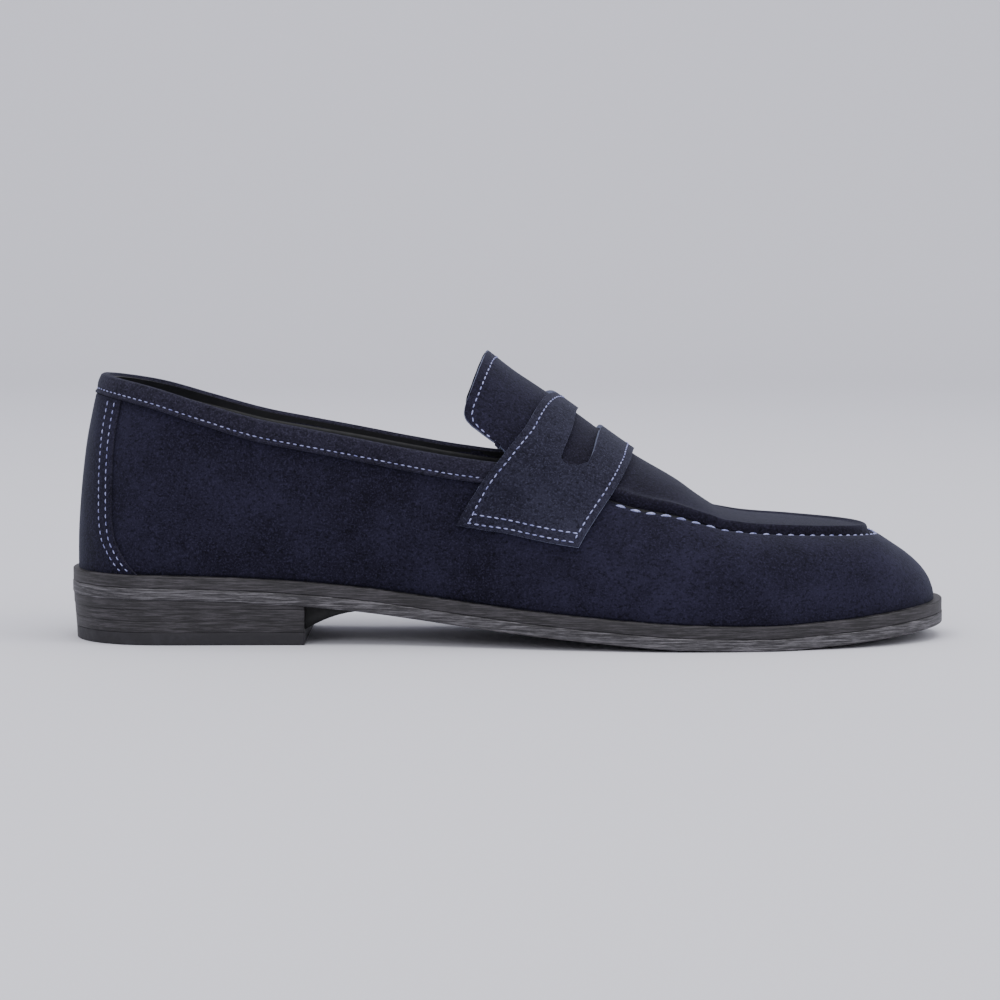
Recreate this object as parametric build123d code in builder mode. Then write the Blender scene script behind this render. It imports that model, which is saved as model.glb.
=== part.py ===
"""Slip-on moccasin shoe for the right foot, with a slotted saddle strap.

Frame: millimetres, +X towards the toe, +Y towards the inner (medial) side, +Z up.
The origin is the centre of the shoe's footprint box, on the ground.
"""
from build123d import *
from functools import lru_cache
from math import cos, hypot, pi, sin
import os

os.makedirs("parts", exist_ok=True)

# ---------------------------------------------------------------- driving dimensions
SHOE_LENGTH = 300.0
HALF_LENGTH = SHOE_LENGTH / 2
WELT_MARGIN = 3.0          # how far the sole stands out beyond the upper
HALF_UPPER = HALF_LENGTH - WELT_MARGIN
REACH = 80.0               # half depth of every cutting block, past the widest point

OUTSOLE_THICK = 4.0
MIDSOLE_THICK = 4.2
HEEL_BREAST_X = -68.6      # front face of the heel
TOP_PIECE_THICK = 4.4
LIFT_THICK = 3.9
LIFT_COUNT = 2             # flat lifts between the top piece and the wedge lift
HEEL_TAPER = 0.45          # how much each lower layer of the heel is set in

SKIN = 1.4                 # suede of the upper
GLUE = 0.12                # clearance between glued layers
STIFFENER = 1.2            # counter, toe puff and interlining
LINING = 0.9
APRON_RISE = 1.1           # how far the apron stands proud of the wall
PATCH = 1.0                # backstay and collar band over the wall
STRAP_TOP = 2.9            # outer face of the strap above the wall
TONGUE_TOP = 1.0

FILLER_THICK = 1.5
BOARD_THICK = 2.0
PAD_THICK = 3.0
SOCK_THICK = 1.0

COLLAR_HEIGHT = 8.5
COLLAR_LIP = 1.0           # how far the band stands over the edge that it binds
THROAT_X = 14.0            # front end of the foot opening, under the strap
APRON_BACK = -22.0         # the apron's outline runs on behind its own rear edge
APRON_TIP = 124.5
APRON_ROUND = 36.0
APRON_FLOOR = 30.0         # the apron lies above this height
FORM_TOP = 140.0
STITCH_THICK = 0.5

# depth of each layer below the outer face of the upper
STIFFENER_OUT = -(SKIN + GLUE)
STIFFENER_IN = STIFFENER_OUT - STIFFENER
LINING_OUT = STIFFENER_IN - GLUE
LINING_IN = LINING_OUT - LINING
BOARD_EDGE = LINING_IN - GLUE


# ---------------------------------------------------------------- smooth guide curves
def smooth(*points):
    """Monotone cubic curve through (x, value) points, level beyond both ends."""
    xs = [p[0] for p in points]
    vs = [p[1] for p in points]
    steps = [b - a for a, b in zip(xs, xs[1:])]
    rises = [(b - a) / h for a, b, h in zip(vs, vs[1:], steps)]
    slopes = [rises[0]]
    for left, right in zip(rises, rises[1:]):
        slopes.append(0.0 if left * right <= 0 else 2 * left * right / (left + right))
    slopes.append(rises[-1])

    def value(x):
        if x <= xs[0]:
            return vs[0]
        if x >= xs[-1]:
            return vs[-1]
        i = max(k for k in range(len(xs)) if xs[k] <= x)
        t = (x - xs[i]) / steps[i]
        keep = (1 + 2 * t) * (1 - t) ** 2 * vs[i] + t * t * (3 - 2 * t) * vs[i + 1]
        lean = t * (1 - t) ** 2 * slopes[i] - t * t * (1 - t) * slopes[i + 1]
        return keep + steps[i] * lean

    return value


# side view: top of the sole, where the upper meets it
sole_top = smooth(
    (-150, 24.0), (-110, 23.4), (-80, 22.2), (-55, 20.2), (-30, 17.2), (0, 13.6),
    (30, 10.8), (60, 8.8), (85, 8.22), (110, 9.4), (130, 11.2), (150, 13.2),
)
# side view: ridge of the foot form, which is also the back of the heel
ridge = smooth(
    (-147, 38), (-145.3, 56), (-143.2, 71), (-138.2, 90.5), (-128, 104), (-110, 116),
    (-84, 124), (-55, 118), (-20, 103.5), (-7, 95.8), (15, 81.5), (43, 61.5), (58, 52.5),
    (66, 46.6), (73, 42.4), (83, 40.3), (100, 38.9), (124, 36.2), (134, 30.8),
    (141, 25.4), (145, 20.4), (147, 15.5),
)
# side view: rim of the foot opening
rim = smooth(
    (-139, 90.7), (-121, 87.0), (-104, 82.0), (-84, 76.4), (-70, 73.7), (-53, 70.5),
    (-34, 66.8), (-15, 63.6), (0, 62.0), (20, 62.5),
)
# plan view: half widths of the sole on its outer (lateral) and inner (medial) side
sole_lateral = smooth((-110, 34.2), (-75, 33.6), (-45, 34.0), (-15, 39.5), (25, 49.0),
                      (58, 53.0), (85, 51.5), (105, 46.5), (150, 41.0))
sole_medial = smooth((-110, 33.8), (-75, 29.5), (-45, 25.5), (-20, 26.5), (10, 34.5),
                     (45, 46.5), (68, 50.0), (90, 48.5), (110, 43.5), (150, 38.0))
# plan view: half widths of the upper at its fullest height
body_lateral = smooth((-110, 32.4), (-75, 33.0), (-45, 35.0), (-15, 39.5), (25, 47.5),
                      (58, 50.6), (85, 49.0), (105, 44.0), (150, 38.5))
body_medial = smooth((-110, 32.0), (-75, 32.0), (-45, 32.5), (-20, 34.0), (10, 38.5),
                     (45, 45.5), (68, 48.0), (90, 46.2), (110, 41.0), (150, 35.5))
# exponent of the cross-section: 2 is an ellipse, 4 is a flat top on upright walls
boxiness = smooth((-147, 2.0), (-125, 2.2), (-100, 2.5), (-80, 2.9), (-40, 2.9), (-5, 2.4),
                  (20, 2.2), (40, 2.3), (58, 2.7), (78, 3.8), (105, 3.8), (128, 3.0),
                  (141, 2.3), (147, 2.0))

# plan view: half widths of the apron, before its tip is rounded off
apron_outer = smooth((-22, 36.0), (10, 36.8), (35, 36.5), (60, 33.5), (85, 30.0), (105, 27.5),
                     (125, 26.5))
apron_inner = smooth((-22, 29.0), (10, 32.0), (35, 33.8), (60, 32.3), (85, 29.5), (105, 27.2),
                     (125, 26.5))

HEEL_ROUND = 31.0          # length over which the heel closes in plan
TOE_ROUND = 54.0           # length over which the toe closes in plan
HEEL_POWER = 2.1
TOE_POWER = 2.25
TOE_SHIFT = 3.0            # the toe's tip lies on the inner side
FADE_SIZE = 18.0           # sections smaller than this take less than the full skin depth
TUCK_HEIGHT = 0.32         # share of the height over which the wall turns in to the sole


def closing(x, half):
    """Factor from 1 to 0 that rounds the plan off at the heel and the toe."""
    heel = max(0.0, (-half + HEEL_ROUND - x) / HEEL_ROUND)
    toe = max(0.0, (x - half + TOE_ROUND) / TOE_ROUND)
    heel_part = max(0.0, 1 - heel ** HEEL_POWER) ** (1 / HEEL_POWER)
    toe_part = max(0.0, 1 - toe ** TOE_POWER) ** (1 / TOE_POWER)
    return heel_part * toe_part


def middle(x):
    """Sideways place of the centre line, which bends inwards at the toe."""
    return TOE_SHIFT * max(0.0, x / HALF_LENGTH) ** 2


def section_point(x, share, side):
    """Point (y, z) on the foot form: share of the height, side -1 outer or 1 inner."""
    base = sole_top(x)
    if side < 0:
        full, foot = body_lateral(x), sole_lateral(x) - WELT_MARGIN
    else:
        full, foot = body_medial(x), sole_medial(x) - WELT_MARGIN
    tuck = (1 - foot / full) * max(0.0, 1 - share / TUCK_HEIGHT) ** 2
    power = boxiness(x)
    arch = max(0.0, 1 - share ** power) ** (1 / power)
    width = full * closing(x, HALF_UPPER) * (1 - tuck) * arch
    return middle(x) + side * width, base + (ridge(x) - base) * share


def skin_point(x, share, side, grow):
    """Section point moved out by grow, square to the section's outline.

    Close to the ends the move fades, because there the stations themselves shift along X.
    """
    breadth = body_medial(x) * closing(x, HALF_UPPER)
    grow *= min(1.0, breadth / FADE_SIZE, (ridge(x) - sole_top(x)) / FADE_SIZE)
    y, z = section_point(x, share, side)
    if share >= 1:
        return y, z + grow
    step = 0.004
    y0, z0 = section_point(x, max(0.0, share - step), side)
    y1, z1 = section_point(x, min(1.0, share + step), side)
    run = hypot(y1 - y0, z1 - z0)
    return y + side * (z1 - z0) / run * grow, z - side * (y1 - y0) / run * grow


def share_at(x, z):
    """Share of the section's height that a height z stands at."""
    return min(1.0, max(0.0, (z - sole_top(x)) / (ridge(x) - sole_top(x))))


STATIONS = [-146.6, -145.4, -143.2, -139.5, -134, -126, -114, -98, -80, -60, -40, -20, -2, 15,
            30, 44, 56, 66, 76, 88, 100, 112, 122, 130, 136.5, 141.5, 144.8, 146.6]
SECTION_SHARES = [0.0, 0.08, 0.2, 0.38, 0.58, 0.77, 0.91, 0.98]
# girth from each of these points to the next, the same at every station, so that the
# stations share one set of knots
SECTION_STEPS = [5.0, 7.0, 10.5, 12.0, 13.0, 14.0, 15.5, 18.0]
FORM_DROP = 6.0            # the form runs on below the sole's top, to be trimmed to it


def girth_parameters():
    """Share of the girth at every section point, from the outer edge to the inner."""
    steps = SECTION_STEPS + SECTION_STEPS[::-1]
    return [sum(steps[:i]) / sum(steps) for i in range(len(steps) + 1)]


@lru_cache(maxsize=None)
def form(grow):
    """Closed foot form, with its skin moved out by grow (in, where negative)."""
    parameters = girth_parameters()
    with BuildPart() as solid:
        for x in STATIONS:
            plane = Plane.YZ.offset(x * (HALF_UPPER + grow) / HALF_UPPER)
            outer = [skin_point(x, share, -1, grow) for share in SECTION_SHARES]
            inner = [skin_point(x, share, 1, grow) for share in SECTION_SHARES]
            points = outer + [skin_point(x, 1.0, 1, grow)] + inner[::-1]
            first, last = points[0], points[-1]
            low = sole_top(x) - FORM_DROP
            with BuildSketch(plane):
                with BuildLine():
                    add(Edge.make_spline([Vector(*p) for p in points], parameters=parameters))
                    Polyline(last, (last[0], low), (first[0], low), first)
                make_face()
        loft()
    return solid.part


# ---------------------------------------------------------------- cutting blocks
def span(start, stop, count):
    """Evenly spaced values from start to stop."""
    return [start + (stop - start) * i / (count - 1) for i in range(count)]


def side_block(lower, upper, start, stop, count=16):
    """Block across the whole shoe, between two side-view curves."""
    xs = span(start, stop, count)
    with BuildPart() as block:
        with BuildSketch(Plane.XZ):
            with BuildLine():
                Spline(*[(x, lower(x)) for x in xs])
                Line((stop, lower(stop)), (stop, upper(stop)))
                Spline(*[(x, upper(x)) for x in reversed(xs)])
                Line((start, upper(start)), (start, lower(start)))
            make_face()
        extrude(amount=REACH, both=True)
    return block.part


def side_outline(*points):
    """Block across the whole shoe from a straight-sided side-view outline."""
    with BuildPart() as block:
        with BuildSketch(Plane.XZ):
            with BuildLine():
                Polyline(*points, close=True)
            make_face()
        extrude(amount=REACH, both=True)
    return block.part


def above_sole(offset):
    """Curve at a height above the sole's top."""
    return lambda x: sole_top(x) + offset


def plan_block(inset, low, high):
    """Upright block with the sole's plan outline, set in by inset."""
    half = HALF_LENGTH - inset
    turns = 9
    heel_xs = [-half + HEEL_ROUND * (1 - cos(pi / 2 * i / turns)) for i in range(turns)]
    toe_xs = [half - TOE_ROUND * (1 - cos(pi / 2 * i / turns)) for i in range(turns)]
    mid_xs = span(-half + HEEL_ROUND, half - TOE_ROUND, 11)
    xs = heel_xs + mid_xs + toe_xs[::-1]
    outer = []
    inner = []
    for x in xs:
        shrink = closing(x, half)
        outer.append((x, middle(x) - (sole_lateral(x) - inset) * shrink))
        inner.append((x, middle(x) + (sole_medial(x) - inset) * shrink))
    loop = outer + inner[-2:0:-1]
    with BuildPart() as block:
        with BuildSketch(Plane.XY.offset(low)):
            with BuildLine():
                Spline(*loop, periodic=True)
            make_face()
        extrude(amount=high - low)
    return block.part



def below_rim(drop):
    """Block holding all of the upper: under the rim by drop, and ahead of the throat."""
    xs = span(-HALF_LENGTH, THROAT_X, 14)
    with BuildPart() as block:
        with BuildSketch(Plane.XZ):
            with BuildLine():
                edge = Spline(*[(x, rim(x) - drop) for x in xs])
                Polyline(edge @ 1, (THROAT_X, FORM_TOP), (HALF_LENGTH, FORM_TOP),
                         (HALF_LENGTH, -FORM_DROP), (-HALF_LENGTH, -FORM_DROP), edge @ 0)
            make_face()
        extrude(amount=REACH, both=True)
    return block.part


def above(offset):
    """Block of everything higher than the sole's top by offset."""
    xs = span(-HALF_LENGTH, HALF_LENGTH, 22)
    with BuildPart() as block:
        with BuildSketch(Plane.XZ):
            with BuildLine():
                edge = Spline(*[(x, sole_top(x) + offset) for x in xs])
                Polyline(edge @ 1, (HALF_LENGTH, FORM_TOP), (-HALF_LENGTH, FORM_TOP), edge @ 0)
            make_face()
        extrude(amount=REACH, both=True)
    return block.part


def apron_half(x, side):
    """Half width of the apron in plan, on side -1 (outer) or 1 (inner)."""
    tip = max(0.0, (x - APRON_TIP + APRON_ROUND) / APRON_ROUND)
    shrink = max(0.0, 1 - tip ** TOE_POWER) ** (1 / TOE_POWER)
    width = apron_outer(x) if side < 0 else apron_inner(x)
    return side * width * shrink


def apron_edge(side, outset, count=15):
    """Apron's plan outline from the back to the tip on one side, moved out by outset."""
    turns = span(0, pi / 2, count // 2)
    xs = span(APRON_BACK, APRON_TIP - APRON_ROUND, count // 2 + 1)
    xs += [APRON_TIP - APRON_ROUND + APRON_ROUND * sin(a) for a in turns[1:]]
    points = []
    for x in xs:
        ahead, behind = min(x + 0.1, APRON_TIP), x - 0.1
        run = hypot(ahead - behind, apron_half(ahead, side) - apron_half(behind, side))
        out_x = -(apron_half(ahead, side) - apron_half(behind, side)) * side / run
        out_y = side * (ahead - behind) / run
        if x >= APRON_TIP - 0.01:
            out_x, out_y = 1.0, 0.0
        points.append((x + outset * out_x, middle(x) + apron_half(x, side) + outset * out_y))
    return points


def apron_block(outset):
    """Upright block inside the apron's plan outline, moved out by outset."""
    outer = apron_edge(-1, outset)
    inner = apron_edge(1, outset)
    with BuildPart() as block:
        with BuildSketch(Plane.XY.offset(APRON_FLOOR)):
            with BuildLine():
                loop = Spline(*(outer + inner[-2::-1]))
                Line(loop @ 1, loop @ 0)
            make_face()
        extrude(amount=FORM_TOP - APRON_FLOOR)
    return block.part


def shell(outer, inner):
    """Even layer of the foot form between two depths."""
    with BuildPart() as layer:
        add(form(outer))
        add(form(inner), mode=Mode.SUBTRACT)
    return layer.part


def trimmed(solid, *blocks):
    """What all the blocks hold of a solid."""
    with BuildPart() as piece:
        add(solid)
        for block in blocks:
            add(block, mode=Mode.INTERSECT)
    return piece.part


def save(piece, label):
    """Label a finished piece and write its file."""
    piece.label = label
    export_step(piece, f"parts/{label}.step")


# ---------------------------------------------------------------- sole and heel
SOLE_DROP = MIDSOLE_THICK + OUTSOLE_THICK

with BuildPart() as midsole:
    add(plan_block(0.5, 0.0, 40.0))
    add(side_block(above_sole(-MIDSOLE_THICK), above_sole(0), -151, 151), mode=Mode.INTERSECT)
save(midsole.part, "midsole")

with BuildPart() as outsole:
    add(plan_block(0.0, -1.0, 40.0))
    add(side_block(above_sole(-SOLE_DROP), above_sole(-MIDSOLE_THICK), -151, 151),
        mode=Mode.INTERSECT)
save(outsole.part, "outsole")

heel_zone = side_outline((-160, -5), (HEEL_BREAST_X, -5), (HEEL_BREAST_X, 60), (-160, 60))

with BuildPart() as heel_top_piece:
    add(plan_block(HEEL_TAPER * (LIFT_COUNT + 2), 0.0, TOP_PIECE_THICK))
    add(heel_zone, mode=Mode.INTERSECT)
save(heel_top_piece.part, "heel_top_piece")

for number in range(1, LIFT_COUNT + 1):
    low = TOP_PIECE_THICK + LIFT_THICK * (number - 1)
    with BuildPart() as lift:
        add(plan_block(HEEL_TAPER * (LIFT_COUNT + 2 - number), low, low + LIFT_THICK))
        add(heel_zone, mode=Mode.INTERSECT)
    save(lift.part, f"heel_lift_{number}")

lift_top = TOP_PIECE_THICK + LIFT_THICK * LIFT_COUNT

with BuildPart() as heel_wedge_lift:
    add(plan_block(HEEL_TAPER, lift_top, 40.0))
    add(heel_zone, mode=Mode.INTERSECT)
    add(above(-SOLE_DROP), mode=Mode.SUBTRACT)
    add(outsole.part, mode=Mode.SUBTRACT)
save(heel_wedge_lift.part, "heel_wedge_lift")

NAIL_RADIUS = 1.1
NAIL_HEAD_RADIUS = 2.2
NAIL_RECESS = 0.8
NAIL_TIP_Z = 19.0
NAIL_PLACES = [(-136, 0), (-126, -17), (-126, 17), (-103, -23), (-103, 22), (-80, -22), (-80, 17)]

with BuildPart() as heel_nails:
    with BuildSketch(Plane.XY.offset(NAIL_RECESS)):
        with Locations(*NAIL_PLACES):
            Circle(NAIL_HEAD_RADIUS)
    extrude(amount=1.0)
    with BuildSketch(Plane.XY.offset(NAIL_RECESS)):
        with Locations(*NAIL_PLACES):
            Circle(NAIL_RADIUS)
    extrude(amount=NAIL_TIP_Z - NAIL_RECESS)
save(heel_nails.part, "heel_nails")

BREAST_FILLET_LENGTH = 19.5
BREAST_FILLET_FOOT = 5.0
BREAST_FILLET_INSET = 6.0

with BuildPart() as breast_fillet:
    add(plan_block(BREAST_FILLET_INSET, 0.0, 40.0))
    front = HEEL_BREAST_X + BREAST_FILLET_LENGTH
    tip_z = sole_top(front) - SOLE_DROP
    add(side_outline((HEEL_BREAST_X, BREAST_FILLET_FOOT), (HEEL_BREAST_X + 8, 7.6),
                     (HEEL_BREAST_X + 14, 9.7), (front, tip_z), (front, 40),
                     (HEEL_BREAST_X, 40)), mode=Mode.INTERSECT)
    add(above(-SOLE_DROP), mode=Mode.SUBTRACT)
    add(outsole.part, mode=Mode.SUBTRACT)
save(breast_fillet.part, "breast_fillet")

# ---------------------------------------------------------------- inside the bottom
SHANK_BACK = -100.0
SHANK_FRONT = 22.0
SHANK_WIDTH = 16.0
SHANK_THICK = 1.4
SHANK_SLACK = 0.3
cavity = form(BOARD_EDGE)


def shank_plan(slack):
    """Upright slot-shaped block round the shank."""
    with BuildPart() as block:
        with BuildSketch():
            with Locations(((SHANK_BACK + SHANK_FRONT) / 2, 0)):
                SlotOverall(SHANK_FRONT - SHANK_BACK + 2 * slack, SHANK_WIDTH + 2 * slack)
        extrude(amount=40)
    return block.part


with BuildPart() as steel_shank:
    add(shank_plan(0))
    add(side_block(above_sole(0.05), above_sole(0.05 + SHANK_THICK), -145, 30),
        mode=Mode.INTERSECT)
save(steel_shank.part, "steel_shank")

with BuildPart() as bottom_filler:
    add(cavity)
    add(side_block(above_sole(0.02), above_sole(FILLER_THICK), -150, 150), mode=Mode.INTERSECT)
    add(shank_plan(SHANK_SLACK), mode=Mode.SUBTRACT)
save(bottom_filler.part, "bottom_filler")

BOARD_TOP = FILLER_THICK + 0.02 + BOARD_THICK

with BuildPart() as insole_board:
    add(cavity)
    add(side_block(above_sole(FILLER_THICK + 0.02), above_sole(BOARD_TOP), -150, 150),
        mode=Mode.INTERSECT)
save(insole_board.part, "insole_board")

pad_rise = smooth((-150, PAD_THICK), (-88, PAD_THICK), (-62, 0.25), (150, 0.25))


def pad_top(x):
    """Height of the heel pad's top, and of the board ahead of it."""
    return sole_top(x) + BOARD_TOP + pad_rise(x)


def sock_top(x):
    """Height of the sock's upper face."""
    return pad_top(x) + 0.05 + SOCK_THICK


with BuildPart() as heel_pad:
    add(cavity)
    add(side_block(above_sole(BOARD_TOP + 0.02), pad_top, -150, -66), mode=Mode.INTERSECT)
save(heel_pad.part, "heel_pad")

with BuildPart() as sock_liner:
    add(cavity)
    add(side_block(lambda x: pad_top(x) + 0.05, sock_top, -150, 150, 24), mode=Mode.INTERSECT)
save(sock_liner.part, "sock_liner")

# ---------------------------------------------------------------- upper: outer pieces
over_sole = above(0.02)
under_rim = below_rim(COLLAR_LIP + GLUE)
STRAP_BACK_EDGE = [(20, 91), (14.7, 84.7), (6.1, 73.3), (-1.8, 64.0), (-9.2, 55.0),
                   (-17.4, 41.3)]
STRAP_FOOT_EDGE = [(-0.7, 38.9), (10.8, 36.5), (25.0, 34.4)]
STRAP_FRONT_EDGE = [(27.8, 40.8), (31.2, 46.3), (34.7, 50.6), (38.1, 56.0), (41.0, 60.9),
                    (43.4, 65.5), (46.0, 71)]
UNDER_STRAP = 0.6          # how far pieces under the strap stay ahead of its back edge

throat_line = [(x + UNDER_STRAP, z) for x, z in STRAP_BACK_EDGE[:4]]
ahead_of_throat = side_outline(*throat_line, (-1.2, 0), (150, 0), (150, 91))

with BuildPart() as side_wall:
    add(shell(0.0, -SKIN))
    add(over_sole, mode=Mode.INTERSECT)
    add(under_rim, mode=Mode.INTERSECT)
    add(apron_block(0.1), mode=Mode.SUBTRACT)
    with Locations((-HALF_LENGTH, 0, 50)):
        Box(24, 0.4, 120, mode=Mode.SUBTRACT)
save(side_wall.part, "side_wall")

with BuildPart() as apron:
    add(shell(APRON_RISE, -SKIN))
    add(apron_block(0.0), mode=Mode.INTERSECT)
    add(ahead_of_throat, mode=Mode.INTERSECT)
save(apron.part, "apron")

with BuildPart() as apron_clearance:
    add(form(APRON_RISE + GLUE))
    add(apron_block(GLUE), mode=Mode.INTERSECT)

with BuildPart() as collar_band:
    band_low = -COLLAR_HEIGHT
    add(shell(PATCH, LINING_IN - GLUE - LINING))
    add(side_block(lambda x: rim(x) + band_low, rim, -149, 11.0), mode=Mode.INTERSECT)
    add(trimmed(shell(GLUE, LINING_IN - GLUE), below_rim(COLLAR_LIP)), mode=Mode.SUBTRACT)
    add(ahead_of_throat, mode=Mode.SUBTRACT)
save(collar_band.part, "collar_band")

with BuildPart() as saddle_strap:
    add(shell(STRAP_TOP, GLUE))
    with BuildSketch(Plane.XZ):
        with BuildLine():
            back = Spline(*STRAP_BACK_EDGE)
            foot = Spline(back @ 1, *STRAP_FOOT_EDGE)
            front = Spline(foot @ 1, *STRAP_FRONT_EDGE)
            Line(front @ 1, back @ 0)
        make_face()
    extrude(amount=REACH, both=True, mode=Mode.INTERSECT)
    add(apron_clearance.part, mode=Mode.SUBTRACT)
    add(trimmed(form(PATCH + GLUE), side_block(lambda x: rim(x) - COLLAR_HEIGHT - 0.3,
                                               lambda x: rim(x) + GLUE, -30, 11.3)),
        mode=Mode.SUBTRACT)
    with BuildSketch(Plane.XZ):
        with BuildLine():
            slot_back = Spline((25.6, 84), (21.3, 72.5), (18.7, 66.5), (17.7, 63.9))
            slot_foot = Spline(slot_back @ 1, (19.6, 61.9), (23.0, 61.0), (26.4, 62.0),
                               (28.5, 64.6))
            slot_front = Spline(slot_foot @ 1, (30.2, 70.0), (33.0, 76.0), (36.0, 82))
            Line(slot_front @ 1, slot_back @ 0)
        make_face()
    extrude(amount=REACH, both=True, mode=Mode.SUBTRACT)
save(saddle_strap.part, "saddle_strap")

BACKSTAY_EDGE = [(-132.4, 84), (-133.5, 79), (-134.4, 74.5), (-135.4, 66), (-135.9, 54),
                 (-135.9, 43.6), (-135.2, 36), (-133.1, 31), (-129.9, 26.2), (-125.5, 21)]
BACKSTAY_GAP = 0.3

with BuildPart() as backstay:
    add(shell(PATCH, GLUE))
    add(over_sole, mode=Mode.INTERSECT)
    add(below_rim(COLLAR_HEIGHT + BACKSTAY_GAP), mode=Mode.INTERSECT)
    with BuildSketch(Plane.XZ):
        with BuildLine():
            edge = Spline(*BACKSTAY_EDGE)
            Polyline(edge @ 1, (-HALF_LENGTH - 2, 15), (-HALF_LENGTH - 2, 95), edge @ 0)
        make_face()
    extrude(amount=REACH, both=True, mode=Mode.INTERSECT)
save(backstay.part, "backstay")

# ---------------------------------------------------------------- upper: tongue flap
TONGUE_GAP = 0.5
tongue_front = [(x - TONGUE_GAP, z) for x, z in STRAP_BACK_EDGE[:4]]
TONGUE_EDGE = [(-6.0, 66.8), (-10.4, 70.2), (-13.6, 73.0), (-15.4, 76.5), (-15.0, 80.5),
               (-13.2, 85.5), (-11.0, 90.5), (-8.3, 96.5), (-6.9, 101.0)]

with BuildPart() as tongue_zone:
    with BuildSketch(Plane.XZ):
        with BuildLine():
            root = Polyline(*tongue_front)
            free = Spline(root @ 1, *TONGUE_EDGE)
            Line(free @ 1, root @ 0)
        make_face()
    extrude(amount=REACH, both=True)

save(trimmed(shell(TONGUE_TOP, 0.0), tongue_zone.part), "tongue")
save(trimmed(shell(-GLUE, -GLUE - LINING), tongue_zone.part), "tongue_lining")

# ---------------------------------------------------------------- upper: inner pieces
COUNTER_EDGE = [(-95, 15), (-88, 24), (-90, 40), (-100, 55), (-112, 64), (-128, 70),
                (-HALF_LENGTH, 72)]
PUFF_X = 100.0
LINING_SEAM_X = -24.0

with BuildPart() as counter_zone:
    with BuildSketch(Plane.XZ):
        with BuildLine():
            edge = Spline(*COUNTER_EDGE)
            Polyline(edge @ 1, (-HALF_LENGTH, 15), edge @ 0)
        make_face()
    extrude(amount=REACH, both=True)

stiff_layer = trimmed(shell(STIFFENER_OUT, STIFFENER_IN), over_sole, under_rim)
toe_zone = side_outline((PUFF_X, 0), (PUFF_X, 90), (152, 90), (152, 0))
open_zone = side_outline((-152, 0), (-152, 120), (PUFF_X - 0.3, 120), (PUFF_X - 0.3, 0))

save(trimmed(stiff_layer, counter_zone.part), "heel_counter")
save(trimmed(stiff_layer, toe_zone), "toe_puff")

with BuildPart() as interlining:
    add(trimmed(stiff_layer, open_zone))
    add(counter_zone.part, mode=Mode.SUBTRACT)
save(interlining.part, "interlining")

lining_layer = trimmed(shell(LINING_OUT, LINING_IN), over_sole, under_rim)
quarter_zone = side_outline((-152, 0), (-152, 120), (LINING_SEAM_X, 120), (LINING_SEAM_X, 0))
vamp_zone = side_outline((LINING_SEAM_X + 0.3, 0), (LINING_SEAM_X + 0.3, 120), (152, 120),
                         (152, 0))
save(trimmed(lining_layer, quarter_zone), "quarter_lining")
save(trimmed(lining_layer, vamp_zone), "vamp_lining")

# ---------------------------------------------------------------- threads
STITCH_LONG = 2.6
STITCH_WIDE = 0.6
STITCH_PITCH = 4.0
HAND_STITCH_LONG = 3.3
HAND_STITCH_WIDE = 1.0
HAND_STITCH_PITCH = 4.9
HAND_STITCH_OUTSET = 2.0


def side_spot(x, z, side, lift):
    """Place on one flank at a side-view spot, lifted off the form, and the way out."""
    share = share_at(x, z)
    y0, z0 = skin_point(x, share, side, 0.0)
    y1, z1 = skin_point(x, share, side, 1.0)
    out = Vector(0, y1 - y0, z1 - z0).normalized()
    return Vector(x, y0, z0) + out * lift, out


def plan_spot(x, y, lift):
    """Place on top of the form over a plan spot, and the way out."""
    side = -1 if y < middle(x) else 1
    full = body_lateral(x) if side < 0 else body_medial(x)
    reach = min(1.0, abs(y - middle(x)) / max(full * closing(x, HALF_UPPER), 0.1))
    power = boxiness(x)
    share = (1 - reach ** power) ** (1 / power)
    y0, z0 = skin_point(x, share, side, 0.0)
    y1, z1 = skin_point(x, share, side, 1.0)
    out = Vector(0, y1 - y0, z1 - z0).normalized()
    return Vector(x, y, z0) + out * lift, out


def dash_planes(row, pitch):
    """Planes for the stitches of one row, evenly spaced along it."""
    planes = []
    travelled = 0.0
    due = pitch / 2
    for (start, out), (stop, _) in zip(row, row[1:]):
        gap = stop - start
        while due <= travelled + gap.length:
            along = gap.normalized()
            up = (out - along * out.dot(along)).normalized()
            planes.append(Plane(start + along * (due - travelled), x_dir=along, z_dir=up))
            due += pitch
        travelled += gap.length
    return planes


def thread(label, rows, long=STITCH_LONG, wide=STITCH_WIDE, pitch=STITCH_PITCH):
    """Row of separate stitches along each path, as one node."""
    planes = [plane for row in rows for plane in dash_planes(row, pitch)]
    with BuildPart() as stitches:
        with Locations(*planes):
            Box(long, wide, STITCH_THICK)
    save(stitches.part, label)


def flank_rows(points, lift, shift_x=0.0, shift_z=0.0):
    """The same side-view row on both flanks of the shoe, sampled finely."""
    rows = []
    for side in (-1, 1):
        row = []
        for (x0, z0), (x1, z1) in zip(points, points[1:]):
            for t in span(0, 0.9, 10):
                x = x0 + (x1 - x0) * t + shift_x
                z = z0 + (z1 - z0) * t + shift_z
                row.append(side_spot(x, z, side, lift))
        rows.append(row)
    return rows


seam_path = apron_edge(-1, HAND_STITCH_OUTSET, 61) + apron_edge(1, HAND_STITCH_OUTSET, 61)[-2::-1]
seam_row = [plan_spot(x, y, 0.1) for x, y in seam_path if x > 33.0]
thread("moc_seam_thread", [seam_row], HAND_STITCH_LONG, HAND_STITCH_WIDE, HAND_STITCH_PITCH)

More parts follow.
